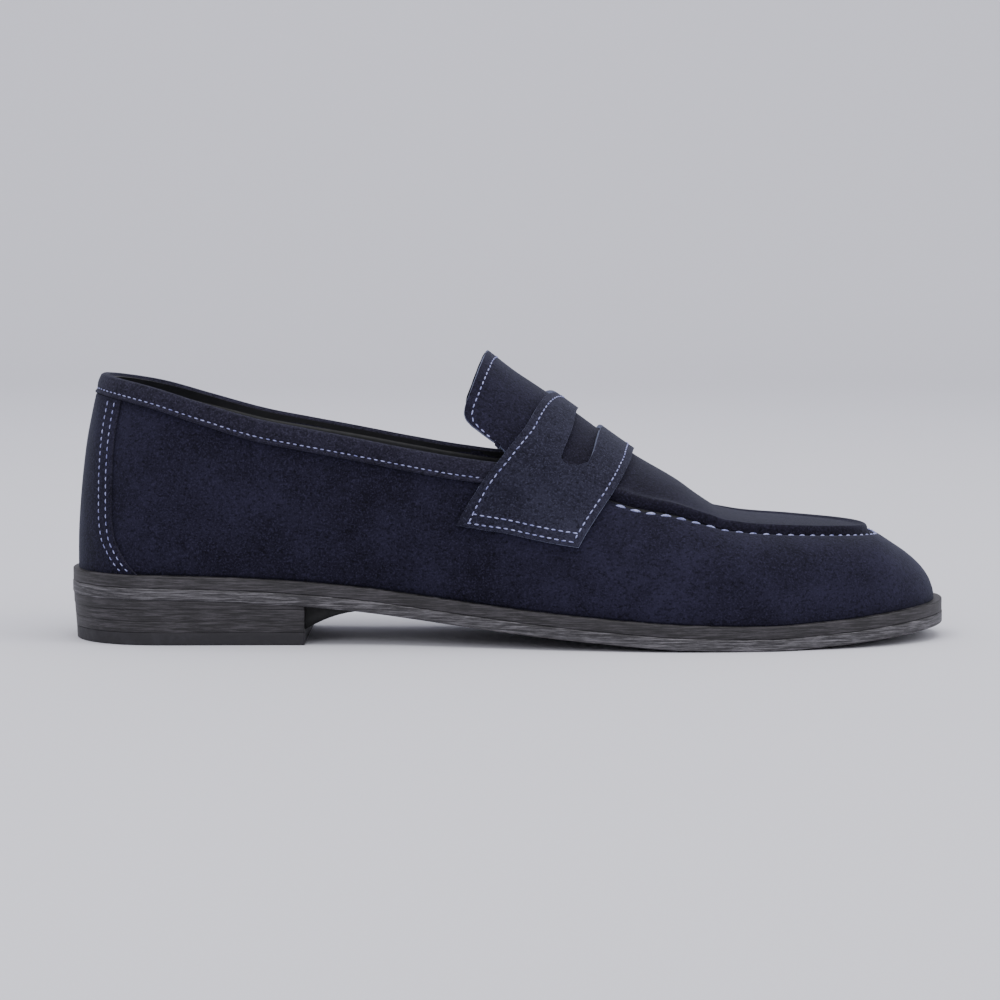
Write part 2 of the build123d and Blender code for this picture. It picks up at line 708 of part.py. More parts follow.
strap_rows = flank_rows(STRAP_BACK_EDGE[1:], STRAP_TOP, 1.6)
strap_rows += flank_rows(STRAP_FRONT_EDGE[:-1], STRAP_TOP, -1.6)
strap_rows += flank_rows([(-11.5, 45.6), (23.0, 39.6)], STRAP_TOP)
strap_rows += flank_rows([(-13.0, 42.4), (22.0, 36.6)], STRAP_TOP)
thread("strap_thread", strap_rows)

collar_row = [(x, rim(x) - 6.9) for x in span(-138.0, -12.0, 30)]
thread("collar_thread", flank_rows(collar_row, PATCH))

backstay_rows = flank_rows(BACKSTAY_EDGE[1:-1], PATCH, -1.8)
backstay_rows += flank_rows(BACKSTAY_EDGE[1:-1], PATCH, -4.2)
thread("backstay_thread", backstay_rows)

thread("tongue_thread", flank_rows(TONGUE_EDGE[1:-1], TONGUE_TOP, 2.0))
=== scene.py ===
"""Penny loafer: suede upper, hand-sewn apron and stacked sole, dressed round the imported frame."""
import logging
import math
from dataclasses import dataclass, field
from enum import Enum
from typing import Callable, Iterable, Optional

import bmesh
import bpy
import numpy as np
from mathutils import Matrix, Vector


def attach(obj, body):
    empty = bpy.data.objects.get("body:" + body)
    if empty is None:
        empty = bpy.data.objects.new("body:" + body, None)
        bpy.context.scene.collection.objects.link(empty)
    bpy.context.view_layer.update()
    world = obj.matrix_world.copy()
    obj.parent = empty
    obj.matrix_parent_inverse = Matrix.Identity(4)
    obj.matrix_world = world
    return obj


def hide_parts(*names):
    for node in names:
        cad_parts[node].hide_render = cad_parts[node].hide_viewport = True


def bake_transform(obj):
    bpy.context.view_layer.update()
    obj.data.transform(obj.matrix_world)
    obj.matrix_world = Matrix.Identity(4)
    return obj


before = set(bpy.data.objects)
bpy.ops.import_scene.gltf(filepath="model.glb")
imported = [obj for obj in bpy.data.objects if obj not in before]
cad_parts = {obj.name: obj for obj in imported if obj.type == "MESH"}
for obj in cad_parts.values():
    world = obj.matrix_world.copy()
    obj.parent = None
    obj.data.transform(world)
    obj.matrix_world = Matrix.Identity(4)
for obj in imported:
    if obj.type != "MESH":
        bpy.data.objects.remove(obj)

LOG = logging.getLogger("loafer")
MM = 0.001
SHOE = "shoe"
TURN_SCALE = np.array([45.0, 1.0])  # millimetres along the arch for one radian, and for one of x


class Flank(Enum):
    """Side of the foot: the outer one faces -Y, the inner one +Y."""

    OUTER = -1
    INNER = 1


# ---------------------------------------------------------------- guide curves
class Guide:
    """Monotone cubic curve through (x, value) points, in millimetres."""

    def __init__(self, *points: tuple[float, float]) -> None:
        """Samples the curve finely, so that whole arrays can be read off it.

        Args:
            points: knots of the curve, in order of x.
        """
        xs = np.array([p[0] for p in points], float)
        vs = np.array([p[1] for p in points], float)
        steps = np.diff(xs)
        rises = np.diff(vs) / steps
        slopes = np.empty(len(xs))
        slopes[0], slopes[-1] = rises[0], rises[-1]
        for i in range(1, len(xs) - 1):
            left, right = rises[i - 1], rises[i]
            slopes[i] = 0.0 if left * right <= 0 else 2 * left * right / (left + right)
        self.grid = np.linspace(xs[0], xs[-1], 3001)
        at = np.clip(np.searchsorted(xs, self.grid, side="right") - 1, 0, len(xs) - 2)
        t = (self.grid - xs[at]) / steps[at]
        keep = (1 + 2 * t) * (1 - t) ** 2 * vs[at] + t * t * (3 - 2 * t) * vs[at + 1]
        lean = t * (1 - t) ** 2 * slopes[at] - t * t * (1 - t) * slopes[at + 1]
        self.values = keep + steps[at] * lean

    def __call__(self, x: np.ndarray) -> np.ndarray:
        """Value at x, level beyond both ends."""
        return np.interp(x, self.grid, self.values)


def smoothstep(edge0: float, edge1: float, x: np.ndarray) -> np.ndarray:
    """Smooth rise from 0 at edge0 to 1 at edge1."""
    t = np.clip((np.asarray(x, float) - edge0) / (edge1 - edge0), 0, 1)
    return t * t * (3 - 2 * t)


def bump(x: np.ndarray, centre: float, width: float) -> np.ndarray:
    """Bell of height 1 about centre, gone beyond three widths."""
    return np.exp(-((np.asarray(x, float) - centre) / width) ** 2)


def resample(points: np.ndarray, count: int) -> np.ndarray:
    """Points spread evenly along a polyline.

    Args:
        points: (n, k) corners of the line.
        count: how many points to return.

    Returns:
        (count, k) array, both ends kept.
    """
    gaps = np.linalg.norm(np.diff(points, axis=0), axis=1)
    travel = np.concatenate([[0], np.cumsum(gaps)])
    due = np.linspace(0, travel[-1], count)
    return np.stack([np.interp(due, travel, points[:, k]) for k in range(points.shape[1])], axis=1)


@dataclass
class FootForm:
    """The last that the shoe is made on, in millimetres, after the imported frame's own sizes."""

    length: float = 300.0
    welt: float = 3.0
    heel_round: float = 31.0
    toe_round: float = 54.0
    heel_power: float = 2.1
    toe_power: float = 2.25
    toe_shift: float = 3.0
    tuck_height: float = 0.32
    sole_top: Guide = field(default_factory=lambda: Guide(
        (-150, 24.0), (-110, 23.4), (-80, 22.2), (-55, 20.2), (-30, 17.2), (0, 13.6),
        (30, 10.8), (60, 8.8), (85, 8.22), (110, 9.4), (130, 11.2), (150, 13.2)))
    ridge: Guide = field(default_factory=lambda: Guide(
        (-147, 38), (-145.3, 56), (-143.2, 71), (-138.2, 90.5), (-128, 104), (-110, 116),
        (-84, 124), (-55, 118), (-20, 103.5), (-7, 95.8), (15, 81.5), (43, 61.5), (58, 52.5),
        (66, 46.6), (73, 42.4), (83, 40.3), (100, 38.9), (124, 36.2), (134, 30.8),
        (141, 25.4), (145, 20.4), (147, 15.5)))
    rim: Guide = field(default_factory=lambda: Guide(
        (-139, 90.7), (-121, 87.0), (-104, 82.0), (-84, 76.4), (-70, 73.7), (-53, 70.5),
        (-34, 66.8), (-15, 63.6), (0, 62.0), (20, 62.5)))
    sole_outer: Guide = field(default_factory=lambda: Guide(
        (-110, 34.2), (-75, 33.6), (-45, 34.0), (-15, 39.5), (25, 49.0), (58, 53.0),
        (85, 51.5), (105, 46.5), (150, 41.0)))
    sole_inner: Guide = field(default_factory=lambda: Guide(
        (-110, 33.8), (-75, 29.5), (-45, 25.5), (-20, 26.5), (10, 34.5), (45, 46.5),
        (68, 50.0), (90, 48.5), (110, 43.5), (150, 38.0)))
    body_outer: Guide = field(default_factory=lambda: Guide(
        (-110, 32.4), (-75, 33.0), (-45, 35.0), (-15, 39.5), (25, 47.5), (58, 50.6),
        (85, 49.0), (105, 44.0), (150, 38.5)))
    body_inner: Guide = field(default_factory=lambda: Guide(
        (-110, 32.0), (-75, 32.0), (-45, 32.5), (-20, 34.0), (10, 38.5), (45, 45.5),
        (68, 48.0), (90, 46.2), (110, 41.0), (150, 35.5)))
    boxiness: Guide = field(default_factory=lambda: Guide(
        (-147, 2.0), (-125, 2.2), (-100, 2.5), (-80, 2.9), (-40, 2.9), (-5, 2.4), (20, 2.2),
        (40, 2.25), (58, 2.6), (78, 3.8), (105, 3.8), (128, 3.0), (141, 2.3), (147, 2.0)))
    apron_outer: Guide = field(default_factory=lambda: Guide(
        (-22, 36.0), (10, 36.8), (35, 37.3), (60, 35.6), (85, 31.0), (105, 27.8), (125, 26.5)))
    apron_inner: Guide = field(default_factory=lambda: Guide(
        (-22, 29.0), (10, 32.0), (35, 34.5), (60, 34.2), (85, 30.4), (105, 27.5), (125, 26.5)))
    apron_tip: float = 124.5
    apron_round: float = 36.0

    @property
    def half(self) -> float:
        """Half length of the upper."""
        return self.length / 2 - self.welt

    def closing(self, x: np.ndarray, half: float) -> np.ndarray:
        """Factor from 1 to 0 that rounds the plan off at the heel and the toe."""
        heel = np.clip((-half + self.heel_round - x) / self.heel_round, 0, 1)
        toe = np.clip((x - half + self.toe_round) / self.toe_round, 0, 1)
        heel_part = (1 - heel ** self.heel_power) ** (1 / self.heel_power)
        return heel_part * (1 - toe ** self.toe_power) ** (1 / self.toe_power)

    def middle(self, x: np.ndarray) -> np.ndarray:
        """Sideways place of the centre line, which bends inwards at the toe."""
        return self.toe_shift * np.clip(np.asarray(x) / (self.length / 2), 0, None) ** 2

    def half_width(self, x: np.ndarray, share: np.ndarray, side: np.ndarray) -> np.ndarray:
        """Distance from the centre line to the skin at a share of the section's height."""
        full = np.where(side < 0, self.body_outer(x), self.body_inner(x))
        foot = np.where(side < 0, self.sole_outer(x), self.sole_inner(x)) - self.welt
        share = np.clip(share, 0, 1)
        tuck = (1 - foot / full) * np.clip(1 - share / self.tuck_height, 0, 1) ** 2
        power = self.boxiness(x)
        arch = (1 - share ** power) ** (1 / power)
        return full * self.closing(x, self.half) * (1 - tuck) * arch

    def share(self, x: np.ndarray, z: np.ndarray) -> np.ndarray:
        """Share of the section's height that z stands at."""
        base = self.sole_top(x)
        return np.clip((z - base) / (self.ridge(x) - base), 0, 1)

    def flank_point(self, x: np.ndarray, z: np.ndarray, side: np.ndarray) -> np.ndarray:
        """Points on the skin at side-view places."""
        share = self.share(x, z)
        y = self.middle(x) + side * self.half_width(x, share, side)
        return np.stack(np.broadcast_arrays(x, y, np.minimum(z, self.ridge(x))), axis=-1)

    def top_point(self, x: np.ndarray, y: np.ndarray) -> np.ndarray:
        """Points on the skin over plan places."""
        off = y - self.middle(x)
        full = np.where(off < 0, self.body_outer(x), self.body_inner(x))
        reach = np.clip(np.abs(off) / np.maximum(full * self.closing(x, self.half), 0.1), 0, 1)
        power = self.boxiness(x)
        share = (1 - reach ** power) ** (1 / power)
        base = self.sole_top(x)
        return np.stack([x, y, base + (self.ridge(x) - base) * share], axis=-1)

    def arch_point(self, x: np.ndarray, turn: np.ndarray) -> np.ndarray:
        """Points on the section at x, turn 0 at the outer foot to pi at the inner foot."""
        power = 2 / self.boxiness(x)
        side = np.where(turn > math.pi / 2, 1.0, -1.0)
        share = np.clip(np.sin(turn), 0, 1) ** power
        y = self.middle(x) + side * self.half_width(x, share, side)
        base = self.sole_top(x)
        return np.stack([x, y, base + (self.ridge(x) - base) * share], axis=-1)

    def turn_at(self, x: np.ndarray, z: np.ndarray) -> np.ndarray:
        """Turn of the section at which the outer flank reaches height z."""
        return np.arcsin(self.share(x, z) ** (self.boxiness(x) / 2))

    def inside(self, points: np.ndarray) -> np.ndarray:
        """Whether points lie within the form, the part below the sole's top included."""
        x, y, z = points[..., 0], points[..., 1], points[..., 2]
        base = self.sole_top(x)
        share = (z - base) / np.maximum(self.ridge(x) - base, 0.5)
        off = y - self.middle(x)
        side = np.sign(off)
        width = self.half_width(x, share, side)
        return (np.abs(x) < self.half) & (share < 1) & (np.abs(off) < width)

    def project(self, points: np.ndarray, centres: np.ndarray) -> np.ndarray:
        """Moves points along the line from their centre until they meet the skin."""
        low = np.zeros(points.shape[:-1])
        high = np.full(points.shape[:-1], 3.0)
        ray = points - centres
        for _ in range(26):
            mid = (low + high) / 2
            hit = self.inside(centres + ray * mid[..., None])
            low = np.where(hit, mid, low)
            high = np.where(hit, high, mid)
        return centres + ray * ((low + high) / 2)[..., None]

    def apron_half(self, x: np.ndarray, side: np.ndarray) -> np.ndarray:
        """Half width of the apron in plan, on one side."""
        tip = np.clip((x - self.apron_tip + self.apron_round) / self.apron_round, 0, 1)
        width = np.where(np.asarray(side) < 0, self.apron_outer(x), self.apron_inner(x))
        return width * (1 - tip ** self.toe_power) ** (1 / self.toe_power)


FORM = FootForm()


# ---------------------------------------------------------------- sheets of points
class Patch:
    """A grid of points on a surface, with the way out at each, in millimetres."""

    def __init__(self, points: np.ndarray) -> None:
        """Keeps the grid and works out its normals.

        Args:
            points: (rows, columns, 3) grid.
        """
        self.points = points
        along = np.gradient(points, axis=1)
        across = np.gradient(points, axis=0)
        out = np.cross(along, across)
        size = np.linalg.norm(out, axis=-1, keepdims=True)
        self.normals = out / np.maximum(size, 1e-9)

    def lifted(self, height: np.ndarray) -> np.ndarray:
        """Grid moved along its normals by a height, or by a grid of heights."""
        height = np.broadcast_to(np.asarray(height, float), self.points.shape[:2])
        return self.points + self.normals * height[..., None]

    def sample(self, row: np.ndarray, column: np.ndarray, lift: np.ndarray = 0.0) -> np.ndarray:
        """Points between the grid's own, at fractional rows and columns."""
        rows, columns = self.points.shape[:2]
        row = np.clip(row, 0, rows - 1.001)
        column = np.clip(column, 0, columns - 1.001)
        r, c = row.astype(int), column.astype(int)
        fr, fc = (row - r)[..., None], (column - c)[..., None]
        mixed = []
        for grid in (self.points, self.normals):
            near = grid[r, c] * (1 - fc) + grid[r, c + 1] * fc
            far = grid[r + 1, c] * (1 - fc) + grid[r + 1, c + 1] * fc
            mixed.append(near * (1 - fr) + far * fr)
        lift = np.broadcast_to(np.asarray(lift, float), row.shape)
        return mixed[0] + mixed[1] * lift[..., None]


# ---------------------------------------------------------------- mesh making
class Maker:
    """Turns grids into finished pieces and hangs them on the frame."""

    @staticmethod
    def grid_mesh(points: np.ndarray, wrap: bool = False) -> bmesh.types.BMesh:
        """A grid mesh moved onto the given points.

        Args:
            points: (rows, columns, 3) places in millimetres.
            wrap: merge the last column with the first.

        Returns:
            The bmesh, in metres, with a UV map that runs with the grid.
        """
        rows, columns = points.shape[:2]
        bm = bmesh.new()
        bmesh.ops.create_grid(bm, x_segments=columns - 1, y_segments=rows - 1, size=0.5,
                              calc_uvs=True)
        bm.verts.ensure_lookup_table()
        flat = (points * MM).reshape(-1, 3)
        for vert, place in zip(bm.verts, flat):
            vert.co = place
        if wrap:
            bmesh.ops.remove_doubles(bm, verts=bm.verts, dist=1e-6)
        return bm

    @staticmethod
    def finish(bm: bmesh.types.BMesh, name: str, materials: list[bpy.types.Material],
               recalc: bool = False) -> bpy.types.Object:
        """Makes a smooth-shaded object of a bmesh, at the origin.

        Args:
            bm: the mesh, freed here.
            name: the piece's name.
            materials: its material slots.
            recalc: point the faces outwards.

        Returns:
            The new object, linked to the scene.
        """
        if recalc:
            bmesh.ops.recalc_face_normals(bm, faces=bm.faces)
        mesh = bpy.data.meshes.new(name)
        bm.to_mesh(mesh)
        bm.free()
        mesh.polygons.foreach_set("use_smooth", [True] * len(mesh.polygons))
        piece = bpy.data.objects.new(name, mesh)
        for material in materials:
            mesh.materials.append(material)
        bpy.context.scene.collection.objects.link(piece)
        return piece

    @staticmethod
    def thicken(piece: bpy.types.Object, thick: float, edge: float, rim_slot: int = 0,
                even: bool = True) -> None:
        """Gives a sheet a wall behind its face, and rounded edges.

        Args:
            piece: the sheet.
            thick: wall in millimetres.
            edge: radius of the rounded edges, in millimetres.
            rim_slot: how many material slots further on the cut edge is.
            even: keep the wall's thickness at sharp bends.
        """
        wall = piece.modifiers.new("wall", "SOLIDIFY")
        wall.thickness = thick * MM
        wall.offset = -1
        wall.use_even_offset = even
        wall.use_quality_normals = True
        wall.material_offset_rim = rim_slot
        if edge > 0:
            soft = piece.modifiers.new("edge", "BEVEL")
            soft.width = edge * MM
            soft.segments = 3
            soft.limit_method = "ANGLE"
            soft.angle_limit = math.radians(50)
            soft.harden_normals = False
            # The rounded edges take the rim material; on the strap and tongue that is a painted
            # highlight.
            soft.material = rim_slot if rim_slot else -1

    @staticmethod
    def hang(piece: bpy.types.Object, body: str, slot: str, *nodes: str) -> bpy.types.Object:
        """Makes a piece ride on a body and stand for CAD nodes."""
        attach(piece, body)
        if nodes:
            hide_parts(*nodes)
        LOG.info("%s on %s for %s", piece.name, body, ", ".join(nodes) or "no node")
        return piece

    @staticmethod
    def hang_bending(piece: bpy.types.Object, slot: str, node: str) -> bpy.types.Object:
        """Bakes a piece's place into its mesh and makes it stand for a CAD node."""
        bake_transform(piece)
        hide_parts(node)
        return piece


@dataclass
class StitchRow:
    """Visible stitches along a line on a surface."""

    long: float = 1.75
    wide: float = 0.5
    high: float = 0.4
    pitch: float = 2.5
    sink: float = 0.12
    skew: float = 0.0
    jitter: float = 0.06
    seed: int = 3

    def add_to(self, bm: bmesh.types.BMesh, line: np.ndarray, out: np.ndarray) -> int:
        """Adds one grain-shaped stitch per pitch along a line.

        Args:
            bm: mesh that takes the stitches.
            line: (n, 3) places on the surface, in millimetres.
            out: (n, 3) ways out of the surface.

        Returns:
            How many stitches were made.
        """
        rng = np.random.default_rng(self.seed)
        travel = np.concatenate([[0], np.cumsum(np.linalg.norm(np.diff(line, axis=0), axis=1))])
        count = max(2, int(round(travel[-1] / self.pitch)))
        step = travel[-1] / count
        for i in range(count):
            self._stitch(bm, line, out, travel, (i + 0.5) * step, rng)
        return count

    def add_one(self, bm: bmesh.types.BMesh, line: np.ndarray, out: np.ndarray) -> int:
        """Adds a single stitch at the middle of a short line."""
        travel = np.concatenate([[0], np.cumsum(np.linalg.norm(np.diff(line, axis=0), axis=1))])
        self._stitch(bm, line, out, travel, travel[-1] / 2, np.random.default_rng(self.seed))
        return 1

    def _stitch(self, bm: bmesh.types.BMesh, line: np.ndarray, out: np.ndarray,
                travel: np.ndarray, due: float, rng: np.random.Generator) -> None:
        """Adds the stitch whose middle is at a distance along the line."""
        spot = np.array([np.interp(due, travel, line[:, k]) for k in range(3)])
        ahead = np.array([np.interp(due + 0.4, travel, line[:, k]) for k in range(3)])
        behind = np.array([np.interp(due - 0.4, travel, line[:, k]) for k in range(3)])
        up = Vector([np.interp(due, travel, out[:, k]) for k in range(3)]).normalized()
        along = Vector(ahead - behind).normalized()
        along = (along - up * along.dot(up)).normalized()
        turn = self.skew + rng.normal(0, self.jitter)
        across = up.cross(along)
        along = (along * math.cos(turn) + across * math.sin(turn)).normalized()
        across = up.cross(along)
        stretch = 1 + rng.normal(0, self.jitter)
        ball = bmesh.ops.create_uvsphere(bm, u_segments=8, v_segments=6, radius=1.0)
        for vert in ball["verts"]:
            x, y, z = vert.co.z, vert.co.x, vert.co.y
            sag = -0.5 * self.high * x * x
            place = (Vector(spot) + along * (x * self.long / 2 * stretch)
                     + across * (y * self.wide / 2)
                     + up * (z * self.high / 2 + sag + self.high / 2 - self.sink))
            vert.co = place * MM


def joined_stitches(name: str, rows: Iterable[tuple["StitchRow", np.ndarray, np.ndarray]],
                    material: bpy.types.Material) -> bpy.types.Object:
    """One thread piece of many stitch rows.

    Args:
        name: the piece's name.
        rows: kind of stitch, line and ways out, for each row.
        material: the thread.

    Returns:
        The new piece.
    """
    bm = bmesh.new()
    made = sum(kind.add_to(bm, line, out) for kind, line, out in rows)
    LOG.info("%s has %d stitches", name, made)
    return Maker.finish(bm, name, [material], recalc=True)


# ---------------------------------------------------------------- upper
@dataclass
class WallPanel:
    """One-piece suede wall, from the back seam round the toe and back."""

    heel_columns: int = 46
    side_columns: int = 90
    toe_columns: int = 74
    rows: int = 46
    heel_end: float = -100.0
    toe_start: float = 60.0
    skin: float = 1.4
    valley: float = 1.5
    valley_reach: float = 3.2
    centre_span: tuple = (-112, 98)
    centre_share: float = 0.38
    patch: Optional[Patch] = None

    def _edges(self, side: int) -> tuple[np.ndarray, np.ndarray]:
        """Feather line and top line of one flank, from the back seam to the toe."""
        form = FORM
        lows, highs = [], []
        back = float(np.interp(form.rim(-139.0), form.ridge.values[:400], form.ridge.grid[:400]))
        even = np.linspace(0, 1, 900)
        quarter = np.linspace(0, math.pi / 2, 900)
        spans = [(-form.half, back, self.heel_end, self.heel_columns, 1 - np.cos(quarter)),
                 (self.heel_end, self.heel_end, self.toe_start, self.side_columns, even),
                 (self.toe_start, self.toe_start, form.half, self.toe_columns, np.sin(quarter))]
        for low_start, high_start, stop, count, pace in spans:
            low_x = low_start + (stop - low_start) * pace
            sides = np.full_like(low_x, side)
            low_y = form.middle(low_x) + side * form.half_width(low_x, np.zeros_like(low_x), sides)
            lows.append(resample(np.stack([low_x, low_y, form.sole_top(low_x)], 1), count + 1)[:-1])
            end = form.apron_tip if stop == form.half else stop
            high_x = high_start + (end - high_start) * pace
            rim = form.flank_point(high_x, form.rim(high_x), np.full_like(high_x, side))
            seam_y = form.middle(high_x) + side * form.apron_half(high_x, side)
            seam = form.top_point(high_x, seam_y)
            lean = smoothstep(2.0, 20.0, high_x)[:, None]
            highs.append(resample(rim * (1 - lean) + seam * lean, count + 1)[:-1])
        tip_low = np.array([[form.half, form.middle(form.half), form.sole_top(form.half)]])
        tip_high = form.top_point(np.array([form.apron_tip]),
                                  np.array([form.middle(form.apron_tip)]))
        return np.concatenate(lows + [tip_low]), np.concatenate(highs + [tip_high])

    def make_patch(self) -> Patch:
        """Grid of the wall: rows from the sole up, columns round from the back seam."""
        outer_low, outer_high = self._edges(-1)
        inner_low, inner_high = self._edges(1)
        low = np.concatenate([outer_low, inner_low[-2::-1]])
        high = np.concatenate([outer_high, inner_high[-2::-1]])
        pace = np.linspace(0, 1, self.rows)[:, None, None]
        chord = low[None] * (1 - pace) + high[None] * pace
        centre_x = np.clip(chord[..., 0], *self.centre_span)
        base = low[None, :, 2] + self.centre_share * (high - low)[None, :, 2]
        centre = np.stack([centre_x, FORM.middle(centre_x),
                           np.broadcast_to(base, centre_x.shape)], axis=-1)
        skin = FORM.project(chord, centre)
        skin[0], skin[-1] = low, high
        self.patch = Patch(skin)
        ends = (self.patch.normals[:, 0] + self.patch.normals[:, -1]) / 2
        self.patch.normals[:, 0] = self.patch.normals[:, -1] = ends
        return self.patch

    def relief(self) -> np.ndarray:
        """Height of the skin over the form: the wall dips into the apron's seam."""
        points = self.patch.points
        from_top = np.linalg.norm(points - points[-1][None], axis=-1)
        front = smoothstep(14.0, 34.0, points[-1, :, 0])[None, :]
        return -self.valley * front * np.exp(-(from_top / (self.valley_reach * 0.55)) ** 2)

    def make(self, materials: list[bpy.types.Material]) -> bpy.types.Object:
        """The finished wall."""
        bm = Maker.grid_mesh(self.patch.lifted(self.relief()), wrap=True)
        piece = Maker.finish(bm, "wall_suede", materials)
        Maker.thicken(piece, self.skin, 0.0)
        return Maker.hang(piece, SHOE, "suede", "side_wall")


@dataclass
class Apron:
    """Raised plug on the forefoot, with a rolled lip along its seam."""

    columns: int = 261
    back: float = 4.0
    spine_end: float = 97.0
    rise: float = 0.9
    lip: float = 1.15
    lip_place: float = 1.7
    lip_width: float = 1.5
    edge_drop: float = 1.6
    skin: float = 1.3
    patch: Optional[Patch] = None
    depth: Optional[np.ndarray] = None

    def outline(self) -> np.ndarray:
        """Plan outline from the back of the outer side round the tip to the inner side."""
        turn = np.linspace(0, math.pi / 2, 600)
        xs = self.back + (FORM.apron_tip - self.back) * np.sin(turn)
        outer = np.stack([xs, FORM.middle(xs) - FORM.apron_half(xs, -1)], 1)
        outer = resample(outer, (self.columns + 1) // 2)
        x = outer[:, 0]
        inner = np.stack([x, FORM.middle(x) + FORM.apron_half(x, 1)], 1)
        return np.concatenate([outer, inner[-2::-1]])

    def make_patch(self) -> Patch:
        """Grid of the apron: rows from the edge in to the spine, columns round the outline."""
        edge = self.outline()
        spine_x = np.minimum(edge[:, 0], self.spine_end)
        spine = np.stack([spine_x, FORM.middle(spine_x)], 1)
        reach = np.linalg.norm(edge - spine, axis=1)
        near = np.array([0, 0.25, 0.5, 0.8, 1.1, 1.4, 1.75, 2.1, 2.6, 3.2, 4.0, 5.2, 7.0])
        far = np.linspace(0, 1, 12)[1:]
        self.depth = np.array([np.full(len(edge), depth) for depth in near]
                              + [near[-1] + (reach - near[-1]) * part for part in far])
        part = (self.depth / reach[None])[..., None]
        plan = edge[None] * (1 - part) + spine[None] * part
        self.patch = Patch(FORM.top_point(plan[..., 0], plan[..., 1]))
        down = self.patch.normals[..., 2] < 0
        self.patch.normals[down] *= -1
        slope = FORM.ridge(spine_x + 0.5) - FORM.ridge(spine_x - 0.5)
        crest = np.stack([-slope, np.zeros_like(slope), np.ones_like(slope)], axis=-1)
        crest /= np.linalg.norm(crest, axis=-1, keepdims=True)
        for back, share in ((1, 1.0), (2, 0.7), (3, 0.35)):
            mixed = self.patch.normals[-back] * (1 - share) + crest * share
            self.patch.normals[-back] = mixed / np.linalg.norm(mixed, axis=-1, keepdims=True)
        return self.patch

    def relief(self) -> np.ndarray:
        """Height over the form: down at the seam, up over the lip, then level."""
        rise = self.rise * smoothstep(0.0, 1.6, self.depth)
        lip = self.lip * bump(self.depth, self.lip_place, self.lip_width)
        edge = -self.edge_drop * np.exp(-(self.depth / 0.45) ** 2)
        return rise + lip + edge

    def make(self, materials: list[bpy.types.Material]) -> bpy.types.Object:
        """The finished apron."""
        bm = Maker.grid_mesh(self.patch.lifted(self.relief()))
        bmesh.ops.remove_doubles(bm, verts=bm.verts, dist=2e-5)
        piece = Maker.finish(bm, "apron_suede", materials)
        Maker.thicken(piece, self.skin, 0.0)
        return Maker.hang(piece, SHOE, "suede", "apron")


@dataclass
class Arch:
    """Patch over the instep, from the outer foot of the section to the inner."""

    start: float = -26.0
    stop: float = 62.0
    columns: int = 177
    rows: int = 241
    low_turn: float = 0.10
    high_turn: float = 1.46
    solve_steps: int = 14
    patch: Optional[Patch] = None

    def make_patch(self) -> Patch:
        """Grid with rows up over the arch and columns towards the toe."""
        x = np.linspace(self.start, self.stop, self.columns)[None, :]
        turn = np.linspace(self.low_turn, math.pi - self.low_turn, self.rows)[:, None]
        x, turn = np.broadcast_arrays(x, turn)
        self.patch = Patch(FORM.arch_point(x, turn))
        return self.patch

    def place(self, x: np.ndarray, turn: np.ndarray, lift: np.ndarray = 0.0) -> np.ndarray:
        """Points lifted off the arch at a station and a turn."""
        column = (x - self.start) / (self.stop - self.start) * (self.columns - 1)
        span = math.pi - 2 * self.low_turn
        row = (turn - self.low_turn) / span * (self.rows - 1)
        return self.patch.sample(row, column, lift)

    def turns(self, points: Iterable[tuple[float, float]], lift: float = 0.0) -> np.ndarray:
        """Stations and turns whose lifted places match side-view points.

        Args:
            points: (x, z) spots on the outer flank of a piece's face.
            lift: height of that face above the form.

        Returns:
            (n, 2) array of turn and x, those close to the ridge left out.
        """
        xs = np.array([p[0] for p in points], float)
        zs = np.array([p[1] for p in points], float)
        form_x, form_z = xs.copy(), zs.copy()
        for _ in range(self.solve_steps):
            form_z = np.minimum(form_z, FORM.ridge(form_x))
            got = self.place(form_x, FORM.turn_at(form_x, form_z), lift)
            form_x += xs - got[:, 0]
            form_z += zs - got[:, 2]
        form_z = np.minimum(form_z, FORM.ridge(form_x))
        turn = FORM.turn_at(form_x, form_z)
        return np.stack([turn, form_x], 1)[turn < self.high_turn]


